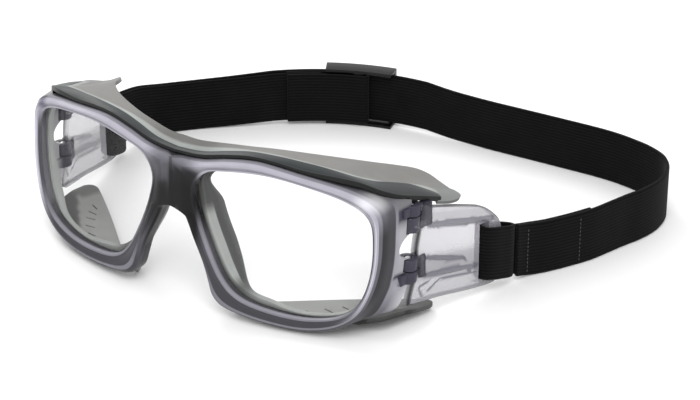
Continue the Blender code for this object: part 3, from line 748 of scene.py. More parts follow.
# Tones round the gasket's section: lit on the cheek's side and in painted shade beside the nose.
GASKET_LIT = (0.33, 0.24, 0.2, 0.24, 0.34, 0.34, 0.34)
GASKET_SHADED = (0.07, 0.07, 0.06, 0.1, 0.12, 0.055, 0.05)


def gasket_tone(corner, x, z):
    """Painted light on the cheek's side and painted shade beside the nose, with a light panel that faces the
    lens.
    """
    pale, dark = GASKET_LIT[corner], GASKET_SHADED[corner]
    if corner in (0, 6):
        dark += 0.3 * ease(8, 12, z) * ease(34, 29, z)
    tone = pale + (dark - pale) * ease(30, 20, x)
    return (tone * 0.96, tone, tone * 0.965)


def gasket_piece():
    """A soft ring behind the lens: a seat, a channel and a rolled rear edge."""
    rings, tones = [], []
    for index in range(len(ANGLES)):
        out = rebate_at(index) - LENS_GAP
        rear = gasket_rear(index)
        x0, z0 = opening_point(index, 0.0)
        lean = 1.7 * ease(26, 16, x0)
        below = ease(30, 42, x0) * ease(60, 54, x0)
        above = ease(38, 43, z0) * ease(40, 30, x0)
        lip = -0.8 + 1.1 * max(below, above)
        middle = (GASKET_SEAT + rear) / 2
        corners = (
            (lip, GASKET_SEAT), (out, GASKET_SEAT), (out - lean * 0.5, middle), (out - lean, rear),
            (lip - lean, rear), (lip - 0.1 - lean * 0.55, middle),
            (lip + 0.25 - lean * 0.3, GASKET_SEAT + (rear - GASKET_SEAT) * 0.3),
        )
        ring = []
        for offset, depth in corners:
            x, z = opening_point(index, offset)
            ring.append((x, face_y(x, z) + depth, z))
        rings.append(rounded(ring, (0.2, 0.2, 1, 0.5, 0.5, 1, 0.6)))
        tones.append([gasket_tone(k // ARC_POINTS, x0, z0) for k in range(len(rings[-1]))])
    return loft("gasket_left", rings, SOFT, closed=True, tones=tones)


def flap(name, rows, thickness, tones, edge):
    """A soft solid sheet from rows of surface points, with softened edges."""
    size = len(rows[0])
    starts = [i * size + j for i in range(len(rows) - 1) for j in range(size - 1)]
    faces = [(a, a + 1, a + size + 1, a + size) for a in starts]
    piece = add_object(name, mesh_from(name, [p for row in rows for p in row], faces))
    modified(piece, "SOLIDIFY", thickness=thickness * MM, offset=0.0)
    modified(piece, "BEVEL", width=edge * MM, segments=3, limit_method="ANGLE", angle_limit=math.radians(50))
    turn_out(piece.data)
    paint(piece, tones)
    shade(only_material(piece, SOFT), 50)
    return piece


def paint(piece, tones):
    """Sets each point's tone from tones(point, normal)."""
    back = TO_ROW.inverted()
    store_tones(piece.data, [tones(back @ v.co, v.normal) for v in piece.data.vertices])
    return piece


def sagging(start, end, steps, fall, power=1.0):
    """Points from start to end, that lie below the straight line by fall at its middle."""
    shares = [(step / steps) ** power for step in range(steps + 1)]
    return [start.lerp(end, share) - Vector((0, 0, fall * math.sin(math.pi * share))) for share in shares]


SLITS = ((55.2, 26.7, 25), (52.8, 22.7, 3), (50.3, 19.1, -12), (46.9, 14.8, -10), (42.9, 10.9, 4))
GUARD_FRONT = ((29.0, 3.4), (36.0, 3.2), (44.0, 3.2), (51.0, 3.4), (57.0, 3.8), (61.5, 4.4), (64.4, 5.2))
GUARD_REAR = Vector((30.0, 9.9)), Vector((72.0, 45.0))


def guard_tone(point, normal):
    """A light leaf with painted shade: a darker band that runs along the frame's edge and round the tip, and
    darker edges and underside.
    """
    x, y = abs(point[0]), point[1]
    band = ease(-0.6, 0.6, x - 48.8 - 0.95 * (y - 12.2)) * ease(31, 27, y)
    tone = 0.28 - 0.21 * band - 0.15 * ease(60.5, 63.5, x) * ease(27, 31, y)
    # Painted shade on the edges and underside, the faces that don't look up.
    if normal.z < 0.3:
        tone *= 0.25 + 0.35 * ease(27, 33, y)
    return (tone, tone * 1.02, tone * 0.98)


def cheek_guard_piece():
    """A soft flap that spreads back from the rim to a rounded tip, with a slit for each X, Y and turn."""
    dense = spline(GUARD_FRONT, 5)
    rows = []
    for index, (x, z) in enumerate(dense):
        share = index / (len(dense) - 1)
        start = Vector((x, face_y(x, z) + RIM_DEPTH + 0.9 + 1.8 * ease(57, 65, x), z))
        goal = GUARD_REAR[0].lerp(GUARD_REAR[1], share)
        end = Vector((goal.x, goal.y + math.sin(math.pi * share), 3.0 - 1.8 * share))
        turn = max(0.0, (share - 0.8) / 0.2)
        end = start.lerp(end, 0.35 + 0.65 * math.sqrt(1 - 0.97 * turn ** 2))
        rows.append(sagging(start, end, 10, -0.25))
    piece = flap("cheek_guard_left", rows, 1.5, guard_tone, 0.5)
    tools = []
    for x, y, turn in SLITS:
        place = Matrix.Translation((x, y, 3.0)) @ Matrix.Rotation(math.radians(turn), 4, "Z")
        tools.append(("DIFFERENCE", box_tool((-1.7, -0.3, -4), (1.7, 0.3, 4), place)))
    return paint(join_cut(piece, tools), guard_tone)


def pad_tone(point, normal):
    # Paler towards the bottom, with painted light on the faces that look to the rear or to the sides.
    tone = 0.016 + 0.17 * ease(27, 18, point.z)
    if normal.y > 0.2 or abs(normal.x) > 0.5:
        tone *= 1.25
    return (tone * 0.96, tone, tone * 0.97)


# X, Z and depth to the rear along the left half of the nose pad
PAD_HALF = (
    (0, 34.6, 2.6), (3.4, 33.4, 3.2), (6.9, 28.6, 4.8), (10, 22.2, 6), (13.6, 15.8, 6.2),
    (16.8, 9.8, 5.8), (18.7, 4.8, 5), (19.4, 0.9, 3.8),
)


def nose_pad_piece():
    """A saddle under the bridge whose two flanges spread down the nose."""
    path = spline([(-x, z, depth) for x, z, depth in PAD_HALF[:0:-1]] + list(PAD_HALF), 6)
    rings = []
    for index, (x, z, depth) in enumerate(path):
        before, after = path[max(index - 1, 0)], path[min(index + 1, len(path) - 1)]
        along = Vector((after[0] - before[0], after[1] - before[1])).normalized()
        normal = Vector((-along.y, along.x)) * 0.8
        front = face_y(x, z) + RIM_DEPTH + 0.4
        flare = 1.5 * max(-1.0, min(1.0, x / 6.0))
        # how far across the pad, how much of the flare and how much of the depth each corner has
        profile = ((-1, 0, 0), (1, 0, 0), (1.05, 0.45, 0.5), (0.8, 1, 1), (-0.8, 1, 1), (-1.05, 0.45, 0.5))
        ring = [(x + normal.x * a + flare * b, front + depth * c, z + normal.y * a) for a, b, c in profile]
        rings.append(rounded(ring, (0.4, 0.4, 1.0, 0.6, 0.6, 1.0)))
    return paint(loft("nose_saddle", rings, DARK), pad_tone)


STRIP_LOW = (
    (0, 1.9, 48.9), (9, 2.4, 49.4), (18, 3.4, 51.4), (26, 4.6, 52.7), (34, 6, 52.6),
    (42, 7.8, 51.5), (48, 9.4, 50.8), (54, 11.2, 50.2), (59, 14.4, 48.7), (63.2, 18.4, 45.9),
    (66.7, 23.6, 43.3), (69, 30.4, 40.9), (71.2, 37.8, 38.1),
)
STRIP_HIGH = (
    (0, 4.6, 49.8), (8.4, 5.4, 50.3), (17.2, 6.7, 52.3), (24.6, 7.8, 53.7), (33.5, 9.4, 54),
    (40.8, 10.9, 53.7), (46.6, 12.5, 53.1), (51.6, 14.4, 52), (55.2, 17.4, 50.2), (58.2, 22, 48),
    (60.6, 27.2, 46.2), (63.4, 33.7, 43.6), (67.4, 39.4, 40.2),
)
STRIP_EDGE = 1.0
# The strip's tone round its section: its own dark grey on the top and edge, with painted shade near-black on
# the underside and the step below the outer edge.
STRIP_TONES = (0.002, 0.002, 0.003, 0.035, 0.024, 0.032, 0.038, 0.05, 0.01, 0.004)
STRIP_SOFTNESS = (0.2, 0.2, 0.15, 0.3, 0.3, 1, 1, 0.4, 0.3, 0.5)
STRIP_BACK = [Vector(p) for p in spline(STRIP_HIGH, 12)]


def with_mirror(rows):
    """The rows from the right end to the left end, from those of the left half."""
    return [[(-x, y, z) for x, y, z in row] for row in rows[:0:-1]] + rows


def brow_strip_piece():
    """A soft strip with a rounded back, a hollow along its top and a step below its outer edge, painted
    near-black as shade.
    """
    low, high = spline(STRIP_LOW, 6), spline(STRIP_HIGH, 6)
    up = Vector((0.0, 0.0, 1.0))
    under = up * (STRIP_EDGE - 0.1)
    rings = []
    for index, (a, b) in enumerate(zip(low, high)):
        a, b = Vector(a), Vector(b)
        tip = ease(len(low) - 9, len(low) - 1, index)
        b = b.lerp(a + (b - a) * 0.9, tip * tip)
        edge = a + Vector((0.0, 0.15, STRIP_EDGE + 0.7 * ease(40, 56, a.x)))
        ring = [
            a.lerp(b, 0.06), a + up * 0.05, edge - up * 0.12, edge, edge.lerp(b, 0.12) + up * 0.08,
            edge.lerp(b, 0.42) + up * 0.22, edge.lerp(b, 0.75) + up * 0.12, b, b - under,
            a.lerp(b, 0.35) - under * 0.1,
        ]
        rings.append(rounded(ring, STRIP_SOFTNESS))
    row = [(tone * 0.86, tone, tone * 1.03) for tone in STRIP_TONES for _ in range(ARC_POINTS)]
    rings = with_mirror(rings)
    return loft("brow_cushion", rings, DARK, tones=[row] * len(rings))


SHIELD_REAR = (
    (0, 7.8, 51.8), (6, 8, 51.7), (15, 9.9, 52.1), (21, 11.8, 52.1), (28.6, 15.4, 51.8),
    (36.4, 20.6, 50.5), (43.6, 27, 48.5), (49.4, 33.4, 46.3), (53.2, 39.6, 44), (57, 45, 41.8),
    (60.4, 47.4, 39.9), (63.6, 48.2, 38), (67.2, 48.6, 36.3),
)
SHIELD_TAIL = (
    (70.7, 36.4, 38.3), (72.5, 40.6, 37.2), (73, 44.2, 36.6), (72, 47.2, 36), (69.9, 49.3, 35.3),
)


def shield_tone(point, normal):
    """Warm grey with painted light on the faces that look up, darker towards the middle, with a pale line
    beside the strip and greener tails.
    """
    x, y, z = abs(point[0]), point[1], point[2]
    # Painted light: faces that look up are lighter.
    top = ease(-0.1, 0.5, normal.z)
    seam = min((Vector((x, y, z)) - edge).length for edge in STRIP_BACK)
    line = ease(1.5, 0.9, seam)
    tone = 0.12 + 0.08 * top - 0.07 * ease(24, 8, x) + 0.16 * line
    tail = max(ease(63, 69, x), line)
    warm = (1.02, 1.0, 0.955)
    green = (0.97, 1.02, 0.985)
    return tuple(tone * (w + (g - w) * tail) for w, g in zip(warm, green))


def brow_shield_piece():
    """A soft sheet that starts inside the strip's rear edge and spreads back to a rounded tail."""
    rows = []
    for low, high, b in zip(spline(STRIP_LOW, 5), spline(STRIP_HIGH, 5), spline(SHIELD_REAR, 5)):
        low, high = Vector(low), Vector(high)
        a = high + (low - high).normalized() * 0.6 - Vector((0, 0, 0.55))
        dip = 1.4 * ease(50, 60, a.x) * ease(66.4, 60, a.x)
        rows.append(sagging(a, Vector(b), 12, dip, 1.5))
    ends = [sagging(p, Vector(q), 4, -0.2) for p, q in zip(rows[-1], spline(SHIELD_TAIL, 3))]
    rows += list(zip(*ends))[1:]
    return flap("brow_shield_sheet", with_mirror(rows), 1.3, shield_tone, 0.4)


# Temples and pins ---------------------------------------------------

TEMPLE_THICK = 2.6
TEMPLE_OUTLINE = (
    (29, 35.6), (31, 37.6), (34.1, 37.8), (40, 36), (45.2, 34.3), (51, 32.2), (55.5, 30.2),
    (59.7, 26.6), (62.7, 22.4), (64.2, 15), (63.8, 7.6), (61.5, 3.1), (58.6, 2.4), (50.2, 3.5),
    (38, 5.8), (26.8, 7.2), (25.6, 8.4), (26.6, 12.6), (27.6, 15.6), (29.2, 19), (28.4, 24),
    (28.8, 28), (29.6, 32.3),
)
TEMPLE_MIDDLE = (44.0, 19.5)
SLOT_Y, SLOT_Z = (53.6, 57.4), (4.6, 24.9)
UPPER_RIDGE = ((33.6, 32.0), (58.5, 25.2))
MIDDLE_RIDGE = ((32.6, 21.4), (48.0, 15.6))
LOWER_RIDGE = ((31.8, 15.6), (52.4, 11.4))
RIDGES = (
    (UPPER_RIDGE, 1.15, 0.5), (MIDDLE_RIDGE, 0.8, 0.5), (LOWER_RIDGE, 1.0, 0.5),
    (((29.5, 12.6), (33.5, 13.1)), 0.24, 0.15), (((29.3, 12.2), (30.6, 8.8)), 0.24, 0.15),
    (((32.8, 10.0), (37.6, 12.3)), 0.24, 0.15), (((38.2, 12.2), (52.6, 9.1)), 0.2, 0.12),
)
RIDGE_TONE = (0.115, 0.11, 0.14)
BOSSES = ((32.6, 40.4, 33.9), (15.8, 23.3, 31.6))  # low, high and rear of the blocks behind the knuckles
BOSS_FRONT = 29.0
BOSS_TONE = (0.024, 0.022, 0.034)


def from_line(y, z, line):
    """How far a point is from a stretch of line."""
    (ay, az), (by, bz) = line
    dy, dz = by - ay, bz - az
    share = max(0.0, min(1.0, ((y - ay) * dy + (z - az) * dz) / (dy * dy + dz * dz)))
    return math.hypot(y - ay - dy * share, z - az - dz * share)


def temple_tone(point, share):
    """Clear plastic with a faint tint: dense edges and a pale panel between the upper and lower ribs."""
    x, y, z = point
    upper = z - (UPPER_RIDGE[0][1] - 0.27 * (y - UPPER_RIDGE[0][0]))
    lower = z - (LOWER_RIDGE[0][1] - 0.2 * (y - LOWER_RIDGE[0][0]))
    front = ease(33.0, 30.0, y)
    inner = front * ease(0.8, 2.0, wall_x(y) - x)
    outer = front * (1 - inner)
    tone = 0.52
    tone -= 0.16 * ease(0.0, 1.0, upper) * ease(7.0, 2.0, upper)
    tone -= 0.2 * ease(7.5, 4.5, lower) * ease(-3.0, 0.5, lower)
    tone -= 0.06 * ease(0.0, -3.0, lower)
    tone -= 0.3 * ease(0.93, 0.965, share) * outer
    tone += (0.1 + 0.3 * inner - tone) * ease(0.968, 0.985, share)
    tone *= 1 - 0.8 * ease(0.955, 0.98, share) * outer
    tone = max(tone, 0.012)
    return (tone * 0.985, tone * 0.965, tone * 1.05)


def ridge_tool(line, wide, rise):
    """A long low rib on the temple's outer face, fading out towards the slot."""
    rings = []
    start, end = Vector(line[0]), Vector(line[1])
    count = 24
    for i in range(count + 1):
        share = i / count
        y, z = start.lerp(end, share)
        half = wide * (0.12 + 0.88 * math.sin(math.pi * (0.12 + 0.85 * share)) ** 0.8)
        top = rise * (0.15 + 0.85 * math.sin(math.pi * (0.15 + 0.8 * share)))
        profile = ((-1, -0.5), (-0.8, 0.05), (-0.25, top), (0.35, top), (1, 0.02), (1, -0.5))
        rings.append([(wall_x(y) + lift, y, z + half * off) for off, lift in profile])
    return loft("tool", rings, TEMPLE_PLASTIC)


TEMPLE_SHARES = (
    1.0, 0.985, 0.965, 0.94, 0.91, 0.88, 0.84, 0.8, 0.75, 0.7, 0.64, 0.58, 0.51, 0.44, 0.36, 0.27, 0.17,
    0.06,
)


def temple_plate():
    """The arm without its hinge: the outline, shrunk in steps to the middle of its outer and inner faces."""
    outline = spline(TEMPLE_OUTLINE, 6, closed=True)
    layers = [(share, 0) for share in TEMPLE_SHARES[::-1]] + [(share, 1) for share in TEMPLE_SHARES]
    rings = []
    for share, inner in layers:
        soft = 0.55 * ease(0.96, 1.0, share) ** 2
        off = soft - TEMPLE_THICK if inner else -soft
        ring = []
        for y, z in outline:
            py = TEMPLE_MIDDLE[0] + (y - TEMPLE_MIDDLE[0]) * share
            pz = TEMPLE_MIDDLE[1] + (z - TEMPLE_MIDDLE[1]) * share
            ring.append((wall_x(py) + off, py, pz))
        rings.append(ring)
    tones = [[temple_tone(p, share) for p in ring] for ring, (share, _) in zip(rings, layers)]
    return loft("temple_plate", rings, TEMPLE_PLASTIC, tones=tones)


def temple_touch(point, tone):
    """Darkens the knuckles, the blocks behind them, the ribs and the slot's surround."""
    x, y, z = point
    radius, height = hinge_place(point)
    for low, high in (UPPER_TEMPLE_EAR, LOWER_TEMPLE_EAR):
        if radius < EAR_RADIUS + 1.6 and low - 0.2 < height < high + 0.2:
            return EAR_TONE
    for low, high, rear in BOSSES:
        if BOSS_FRONT < y < rear + 0.4 and low - 0.1 < z < high + 0.1:
            return BOSS_TONE
    for line, wide, _ in RIDGES:
        if x > wall_x(y) - 0.02 and from_line(y, z, line) < wide + 0.05:
            return RIDGE_TONE
    slot = bump_at(y, sum(SLOT_Y) / 2, 2.6) * ease(3.4, 4.4, z) * ease(26.2, 25.2, z)
    return tuple(c * (1 - 0.45 * slot) for c in tone)


def temple_piece():
    """The arm with its ribs, the blocks and ears of its hinge, the pin's bore and the strap's slot."""
    piece = temple_plate()
    sources = tones_of(piece)
    steps = [("UNION", ridge_tool(*ridge)) for ridge in RIDGES]
    lie = Matrix.Rotation(-math.atan(WALL_FLARE), 4, "Z")
    for low, high, rear in BOSSES:
        place = Matrix.Translation((wall_x(BOSS_FRONT), BOSS_FRONT, (low + high) / 2)) @ lie
        half = (high - low) / 2
        boss = box_tool((-2.1, 0.35, -half), (0.9, rear - BOSS_FRONT, half), place, bevel=0.6)
        steps.append(("UNION", boss))
    steps += [("DIFFERENCE", room_for(*ear)) for ear in (UPPER_FRAME_EAR, LOWER_FRAME_EAR)]
    for ear in (UPPER_TEMPLE_EAR, LOWER_TEMPLE_EAR):
        steps += [("UNION", solid) for solid in ear_solids(*ear, *TEMPLE_ARM)]
    steps.append(("DIFFERENCE", drum_tool(PIN_BORE, -9.4, 9.2, 32)))
    middle = wall_x(sum(SLOT_Y) / 2)
    slot = box_tool((middle - 8, SLOT_Y[0], SLOT_Z[0]), (middle + 6, SLOT_Y[1], SLOT_Z[1]))
    steps.append(("DIFFERENCE", slot))
    join_cut(piece, steps)
    retone(piece, sources, temple_touch)
    return only_material(piece, TEMPLE_PLASTIC)


def pin_piece(low, high):
    """A plain pin with rounded ends."""
    return only_material(drum_tool(PIN_RADIUS, low, high, 32, bevel=0.25), STEEL)


# Strap --------------------------------------------------------------

STRAP_WIDTH, STRAP_THICK, GAP = 18.2, 1.3, 0.3
BEND_CENTRE, BEND_RADIUS = (3.6, 65.6), 75.6
BEND_START, BEND_END, BEND_LIFT = 3.4, 46.4, 1.2
NEAR_RUN = (
    (79.6, 68.6, 1.6), (80.9, 73.4, 0.4), (84.4, 79.2, 0), (88.4, 86.6, 0), (91.8, 94, 0),
    (93.8, 100.8, 0), (95.8, 108, 0), (97.9, 114.6, 0), (99, 121.6, 0), (98.5, 128.4, 0),
    (96.4, 134.2, 0), (92.4, 139.2, 0), (87, 142.2, 0), (80, 144.2, 0), (68, 145.5, 0),
    (48, 144.4, 0), (26, 142.7, 0), (10, 141.5, 0.4),
)
LOOP_PLAN = (
    (-1.3, 55.3), (0.7, 55.9), (1.45, 58.4), (1.35, 62), (1.1, 65.2), (-0.1, 67.7), (-1.6, 67.6),
    (-3.3, 65.2), (-3.95, 62), (-3.95, 58.4), (-3.2, 56),
)
LOOP_THICK, LOOP_LOW, LOOP_FALL = 1.1, 5.3, 0.27
FAR_RUN = (
    (-61, 107.4, 0.5), (-70.4, 97.8, 0), (-77, 88.6, 0.4), (-80.2, 79.4, 2), (-80.4, 69.8, 3.2),
)
SLIDER_MIDDLE, SLIDER_HALF, SLIDER_HEIGHT = 22.5, 9.2, 20.8
END_BAR, END_BAR_REACH = 2.2, 2.9
BAR_HALF, BAR_REACH, BAR_THICK = 1.5, 3.3, 1.1
LEG_LENGTH, RETURN_START = 19.9, 10.6
END_PLY, RETURN_THICK = 0.9, 0.6
RIBS, RIB_DEPTH = 16, 0.014


def bend_point(degrees, inset=0.0):
    """A point of the rear bend, which is a stretch of circle."""
    turn = math.radians(degrees)
    radius = BEND_RADIUS - inset
    return BEND_CENTRE[0] - radius * math.sin(turn), BEND_CENTRE[1] + radius * math.cos(turn)


def bend_path(first, last, steps, inset=0.0):
    angles = [first + (last - first) * i / steps for i in range(steps + 1)]
    return [(*bend_point(angle, inset), BEND_LIFT) for angle in angles]


def run_path(points, steps):
    """A curve through the points that doesn't dip below the floor."""
    return [(x, y, max(z, 0.0)) for x, y, z in spline(points, steps)]


def far_path(steps):
    return run_path(((*bend_point(BEND_END), BEND_LIFT),) + FAR_RUN, steps)


def across(path, index):
    """The level direction square to a path, towards the bend's inside."""
    before, after = path[max(index - 1, 0)], path[min(index + 1, len(path) - 1)]
    along = Vector((after[0] - before[0], after[1] - before[1], 0.0)).normalized()
    return Vector((-along.y, along.x, 0.0))


def cross_section(path, index, offset, lift, normals=None):
    """The inward direction and the middle of the lower edge, at one point of a strap's path."""
    inward = normals[index] if normals else across(path, index)
    return inward, Vector(path[index]) + inward * offset + Vector((0, 0, lift))


def ribbon(name, path, offset=0.0, thickness=STRAP_THICK, width=STRAP_WIDTH, lift=0.0, normals=None):
    """Ribbed elastic on its edge along its lower edge's path, with its length and width in the UV map.
    A path that has its own normals closes up."""
    rings, maps = [], []
    length = 0.0
    last = 2 * RIBS
    order = [(-1, k) for k in range(last + 1)] + [(1, k) for k in range(last, -1, -1)]
    for index, point in enumerate(path):
        if index:
            length += (Vector(point) - Vector(path[index - 1])).length
        inward, base = cross_section(path, index, offset, lift, normals)
        ring, row = [], []
        for side, k in order:
            share = k / last
            if k in (0, last):
                half = thickness / 2 * 0.55
            else:
                half = thickness / 2 - (RIB_DEPTH if k % 2 == 0 else 0.0)
            rise = Vector((0, 0, width * (0.004 + 0.992 * share)))
            ring.append(tuple(base + inward * side * half + rise))
            row.append((length * MM, width * share * MM))
        rings.append(ring)
        maps.append(row)
    return loft(name, rings, STRAP, closed=bool(normals), uvs=maps, sharp=60)


def stitch_row(name, ends):
    """Short thread stitches, each a small fat spindle between two points."""
    points, faces = [], []
    for a, b in ends:
        along = (b - a).normalized()
        side = along.cross(Vector((0.3, 0.2, 1.0))).normalized()
        up = along.cross(side)
        faces += [tuple(len(points) + k for k in face) for face in ring_faces(6, 4)]
        for share, radius in ((0.0, 0.05), (0.2, 0.15), (0.8, 0.15), (1.0, 0.05)):
            for k in range(6):
                turn = math.pi * k / 3
                points.append(a.lerp(b, share) + (side * math.cos(turn) + up * math.sin(turn)) * radius)
    return object_from(name, points, faces, THREAD)


def upright_stitches(path, index, offset, low, high, count=11):
    """The two ends of each stitch in a row from low to high, at one point of a strap's path."""
    foot = Vector(path[index]) + across(path, index) * offset
    step = (high - low) / count
    starts = [foot + Vector((0, 0, low + step * k)) for k in range(count)]
    return [(start, start + Vector((0, 0, 0.62 * step))) for start in starts]


def strap_loop_piece():
    """The strap's end round the bar behind the temple's slot."""
    curve = spline(LOOP_PLAN, 8, closed=True)
    size = len(curve)
    path, normals = [], []
    for index, (off, y) in enumerate(curve):
        before, after = curve[index - 1], curve[(index + 1) % size]
        along = Vector((after[0] - before[0], after[1] - before[1])).normalized()
        path.append((wall_x(y) + off, y, LOOP_LOW - LOOP_FALL * (y - LOOP_PLAN[0][1])))
        normals.append(Vector((along.y, -along.x, 0.0)))
    return ribbon("strap_turn_left", path, thickness=LOOP_THICK, normals=normals)


def plain_band(name, path, offset, thickness, width=STRAP_WIDTH + 2 * GAP, lift=-GAP):
    """A square-edged band. At its own width and lift it clears the strap."""
    rings = []
    for index in range(len(path)):
        inward, base = cross_section(path, index, offset, lift)
        skin, rise = inward * thickness / 2, Vector((0, 0, width))
        rings.append([base - skin, base + skin, base + skin + rise, base - skin + rise])
    return loft(name, rings, BLACK)


def slider_piece():
    """A curved frame with a middle bar and two end bars that the strap passes over and under."""
    first, last = SLIDER_MIDDLE - SLIDER_HALF, SLIDER_MIDDLE + SLIDER_HALF
    bar = (SLIDER_MIDDLE - BAR_HALF, SLIDER_MIDDLE + BAR_HALF)
    end_bar = math.degrees(END_BAR / BEND_RADIUS)
    middle = (BAR_REACH - END_BAR_REACH) / 2
    depth = END_BAR_REACH + BAR_REACH
    body = plain_band("slider_body", bend_path(first, last, 24), middle, depth, SLIDER_HEIGHT, -BEND_LIFT)
    strap_room = STRAP_THICK / 2 + GAP
    tools = [plain_band("tool", bend_path(first - 1, last + 1, 24), 0.0, 2 * strap_room)]
    behind = BAR_REACH + 1.0
    for low, high in ((first - 1, first + end_bar), (last - end_bar, last + 1)):
        path = bend_path(low, high, 6)
        tools.append(plain_band("tool", path, (behind + strap_room) / 2 - 0.1, behind - strap_room + 0.2))
    for low, high in ((first + end_bar, bar[0]), (bar[1], last - end_bar)):
        tools.append(plain_band("tool", bend_path(low, high, 9), 0.0, 12.0))
    before_bar, reach_out = BAR_REACH - BAR_THICK, END_BAR_REACH + 1.0
    over = bend_path(bar[0] - 0.1, bar[1] + 0.1, 3)
    tools.append(plain_band("tool", over, (before_bar - reach_out) / 2, before_bar + reach_out))
    join_cut(body, [("DIFFERENCE", tool) for tool in tools])
    modified(body, "BEVEL", width=0.3 * MM, segments=3, limit_method="ANGLE", angle_limit=math.radians(40))
    return paint(only_material(body, BLACK), slider_tone)


def slider_tone(point, normal):
    # Painted light: faces that look up are slightly lighter.
    return (0.002, 0.002, 0.0025) if normal.z < 0.6 else (0.003, 0.003, 0.0035)


def end_loop_piece():
    """The strap's free end, folded round the slider's middle bar."""
    near, far = BAR_REACH - BAR_THICK - GAP - END_PLY / 2, BAR_REACH + GAP + END_PLY / 2
    turn, middle = (far - near) / 2, (far + near) / 2
    start, legs_end = SLIDER_MIDDLE - BAR_HALF, SLIDER_MIDDLE + LEG_LENGTH
    path = bend_path(legs_end, start, 18, near)
    for i in range(1, 12):
        swing = math.pi * i / 12
        back = math.degrees(turn * math.sin(swing) / BEND_RADIUS)
        path.append((*bend_point(start - back, middle - turn * math.cos(swing)), BEND_LIFT))
    path += bend_path(start, legs_end, 18, far)
    return ribbon("strap_folded_end", path, thickness=END_PLY)


def return_path():
    """The strap doubled back from the slider, which draws in against the outer ply."""
    bend = bend_path(SLIDER_MIDDLE + RETURN_START, BEND_END, 12)
    path = bend[:-1] + far_path(6)
    moved = []
    for index, (x, y, z) in enumerate(path):
        shift = BAR_REACH - BAR_THICK / 2
        shift += (STRAP_THICK + GAP - shift) * ease(10, 24, index)
        inward = across(path, index) * shift
        moved.append((x + inward.x, y + inward.y, z))
    return moved


def spot(path, index):
    return TO_ROW @ Vector(path[index])


# Putting the goggles together ---------------------------------------


def two_sides(piece, name, bodies, node, sharp=None):
    """The left piece and its mirror image, each on its own body in place of its CAD node."""
    piece.name = name + "_left"
    twin = mirror_copy(piece, name + "_right")
    finished(piece, bodies[0], "left_" + node, sharp)
    finished(twin, bodies[1], "right_" + node, sharp)


FRONTS, ARMS = ("front", "front"), ("left_arm", "right_arm")


def front_pieces():
    finished(whole_frame(), "front", "front_frame", 50)
    two_sides(lens_piece(), "lens", FRONTS, "lens")
    two_sides(gasket_piece(), "gasket", FRONTS, "eye_gasket")
    two_sides(cheek_guard_piece(), "cheek", FRONTS, "cheek_guard", 45)
    finished(nose_pad_piece(), "front", "nose_pad")
    finished(brow_strip_piece(), "front", "brow_strip")
    finished(brow_shield_piece(), "front", "brow_shield")


def temple_pieces():
    two_sides(temple_piece(), "temple", ARMS, "temple", 40)
    upper = pin_piece(UPPER_TEMPLE_EAR[0], UPPER_FRAME_EAR[1])
    two_sides(upper, "pin_upper", FRONTS, "upper_hinge_pin", 40)
    lower = pin_piece(LOWER_FRAME_EAR[0], LOWER_TEMPLE_EAR[1])
    two_sides(lower, "pin_lower", FRONTS, "lower_hinge_pin", 40)
    two_sides(strap_loop_piece(), "strap_turn", ARMS, "strap_loop")


NEAR_SPLIT, FAR_SPLIT = 14, 1  # the webbing is cut into separate lengths at these points of its runs
RUN_STEPS = 9
STITCH_ROWS = (8, 30)  # points of the sewn run


def blended(piece, arm, node, start, end):
    """Hides a strap's CAD node, if one is given, and bakes the piece's place into its mesh. arm, start and
    end are not used.
    """
    if node:
        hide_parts(node)
    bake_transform(piece)


def strap_pieces():
    near = run_path(NEAR_RUN + ((*bend_point(BEND_START), BEND_LIFT),), RUN_STEPS)
    far = far_path(RUN_STEPS)
    cut, far_cut = NEAR_SPLIT * RUN_STEPS, FAR_SPLIT * 4
    middle = near[cut:-1] + bend_path(BEND_START, BEND_END, 40) + far[1:far_cut + 1]
    finished(ribbon("strap_rear", middle), "front", "strap_webbing")
    left_bend = spot(near, cut), spot(near, 4)
    right_bend = spot(far, far_cut), spot(far, len(far) - 4)
    blended(ribbon("strap_left", near[:cut + 1]), "left_arm", "strap_webbing", *left_bend)
    blended(ribbon("strap_right", far[far_cut:]), "right_arm", "strap_webbing", *right_bend)
    doubled = ribbon("strap_doubled", return_path(), thickness=RETURN_THICK)
    blended(doubled, "right_arm", "strap_return", *right_bend)

    sewn = run_path(NEAR_RUN[:5], RUN_STEPS)
    ply = ribbon("strap_sewn_ply", sewn, STRAP_THICK + GAP, width=STRAP_WIDTH - 0.7, lift=0.2)
    blended(ply, "left_arm", "strap_sewn_end", *left_bend)
    skin = -STRAP_THICK / 2 - 0.03
    ends = [pair for index in STITCH_ROWS for pair in upright_stitches(sewn, index, skin, 1.4, 16.8)]
    blended(stitch_row("strap_stitches", ends), "left_arm", None, *left_bend)

    finished(end_loop_piece(), "slider", "strap_end_loop")
    finished(slider_piece(), "slider", "strap_slider", 40)


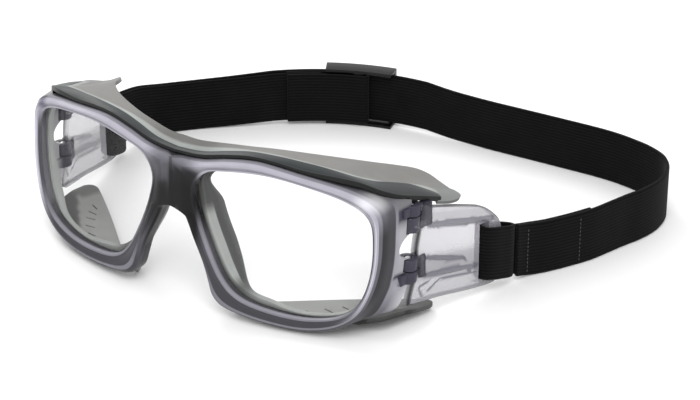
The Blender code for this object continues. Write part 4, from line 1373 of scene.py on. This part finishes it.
front_pieces()
temple_pieces()
strap_pieces()


# Floor, light and camera --------------------------------------------


# These are in metres and watts, in the row's frame
FLOOR_Z = -0.0002
LIGHTS = (("key", (0.35, -0.5, 0.75), 4.0), ("rim", (-0.7, 0.3, 0.6), 3.0))
CAMERA_TURN, CAMERA_RISE = math.radians(35.0), math.radians(27.4)
CAMERA_PLACE = (Vector((399.0, -477.0, 354.8)) - CENTRE) * MM


def floor_and_light():
    mesh = bpy.data.meshes.new("floor")
    corners = [(x, y, FLOOR_Z) for x, y in ((-3, -3), (3, -3), (3, 3), (-3, 3))]
    mesh.from_pydata(corners, [], [(0, 1, 2, 3)])
    kit = Nodes("floor", 0.6)
    kit.colour(kit.ramp(kit.noise(400.0, 2.0), (0.3, 0.93), (0.7, 0.95)))
    mesh.materials.append(kit.material)
    add_object("floor", mesh)
    world = bpy.data.worlds.new("studio")
    world.use_nodes = True
    sky = world.node_tree.nodes["Background"].inputs
    sky["Color"].default_value = (1.0, 1.0, 1.0, 1.0)
    sky["Strength"].default_value = 0.95
    bpy.context.scene.world = world
    for name, place, power in LIGHTS:
        light = bpy.data.lights.new(name, "AREA")
        light.size = 0.5
        light.energy = power
        lamp = add_object(name, light)
        lamp.location = place
        lamp.rotation_euler = (Vector((0, 0, 0.02)) - Vector(place)).to_track_quat("-Z", "Y").to_euler()


def camera():
    """A camera whose local X, Y and Z are its right, its up and the way back from the goggles."""
    flat = math.cos(CAMERA_RISE)
    back = Vector((math.sin(CAMERA_TURN) * flat, -math.cos(CAMERA_TURN) * flat, math.sin(CAMERA_RISE)))
    right = (-back).cross(Vector((0, 0, 1))).normalized()
    data = bpy.data.cameras.new("photo_view")
    data.lens = 119.9
    data.sensor_width = 36.0
    view = add_object("photo_view", data)
    place = Matrix((right, right.cross(-back), back)).transposed().to_4x4()
    place.translation = CAMERA_PLACE
    view.matrix_world = place
    bpy.context.scene.camera = view


floor_and_light()
camera()
bpy.context.scene.view_settings.view_transform = "Standard"
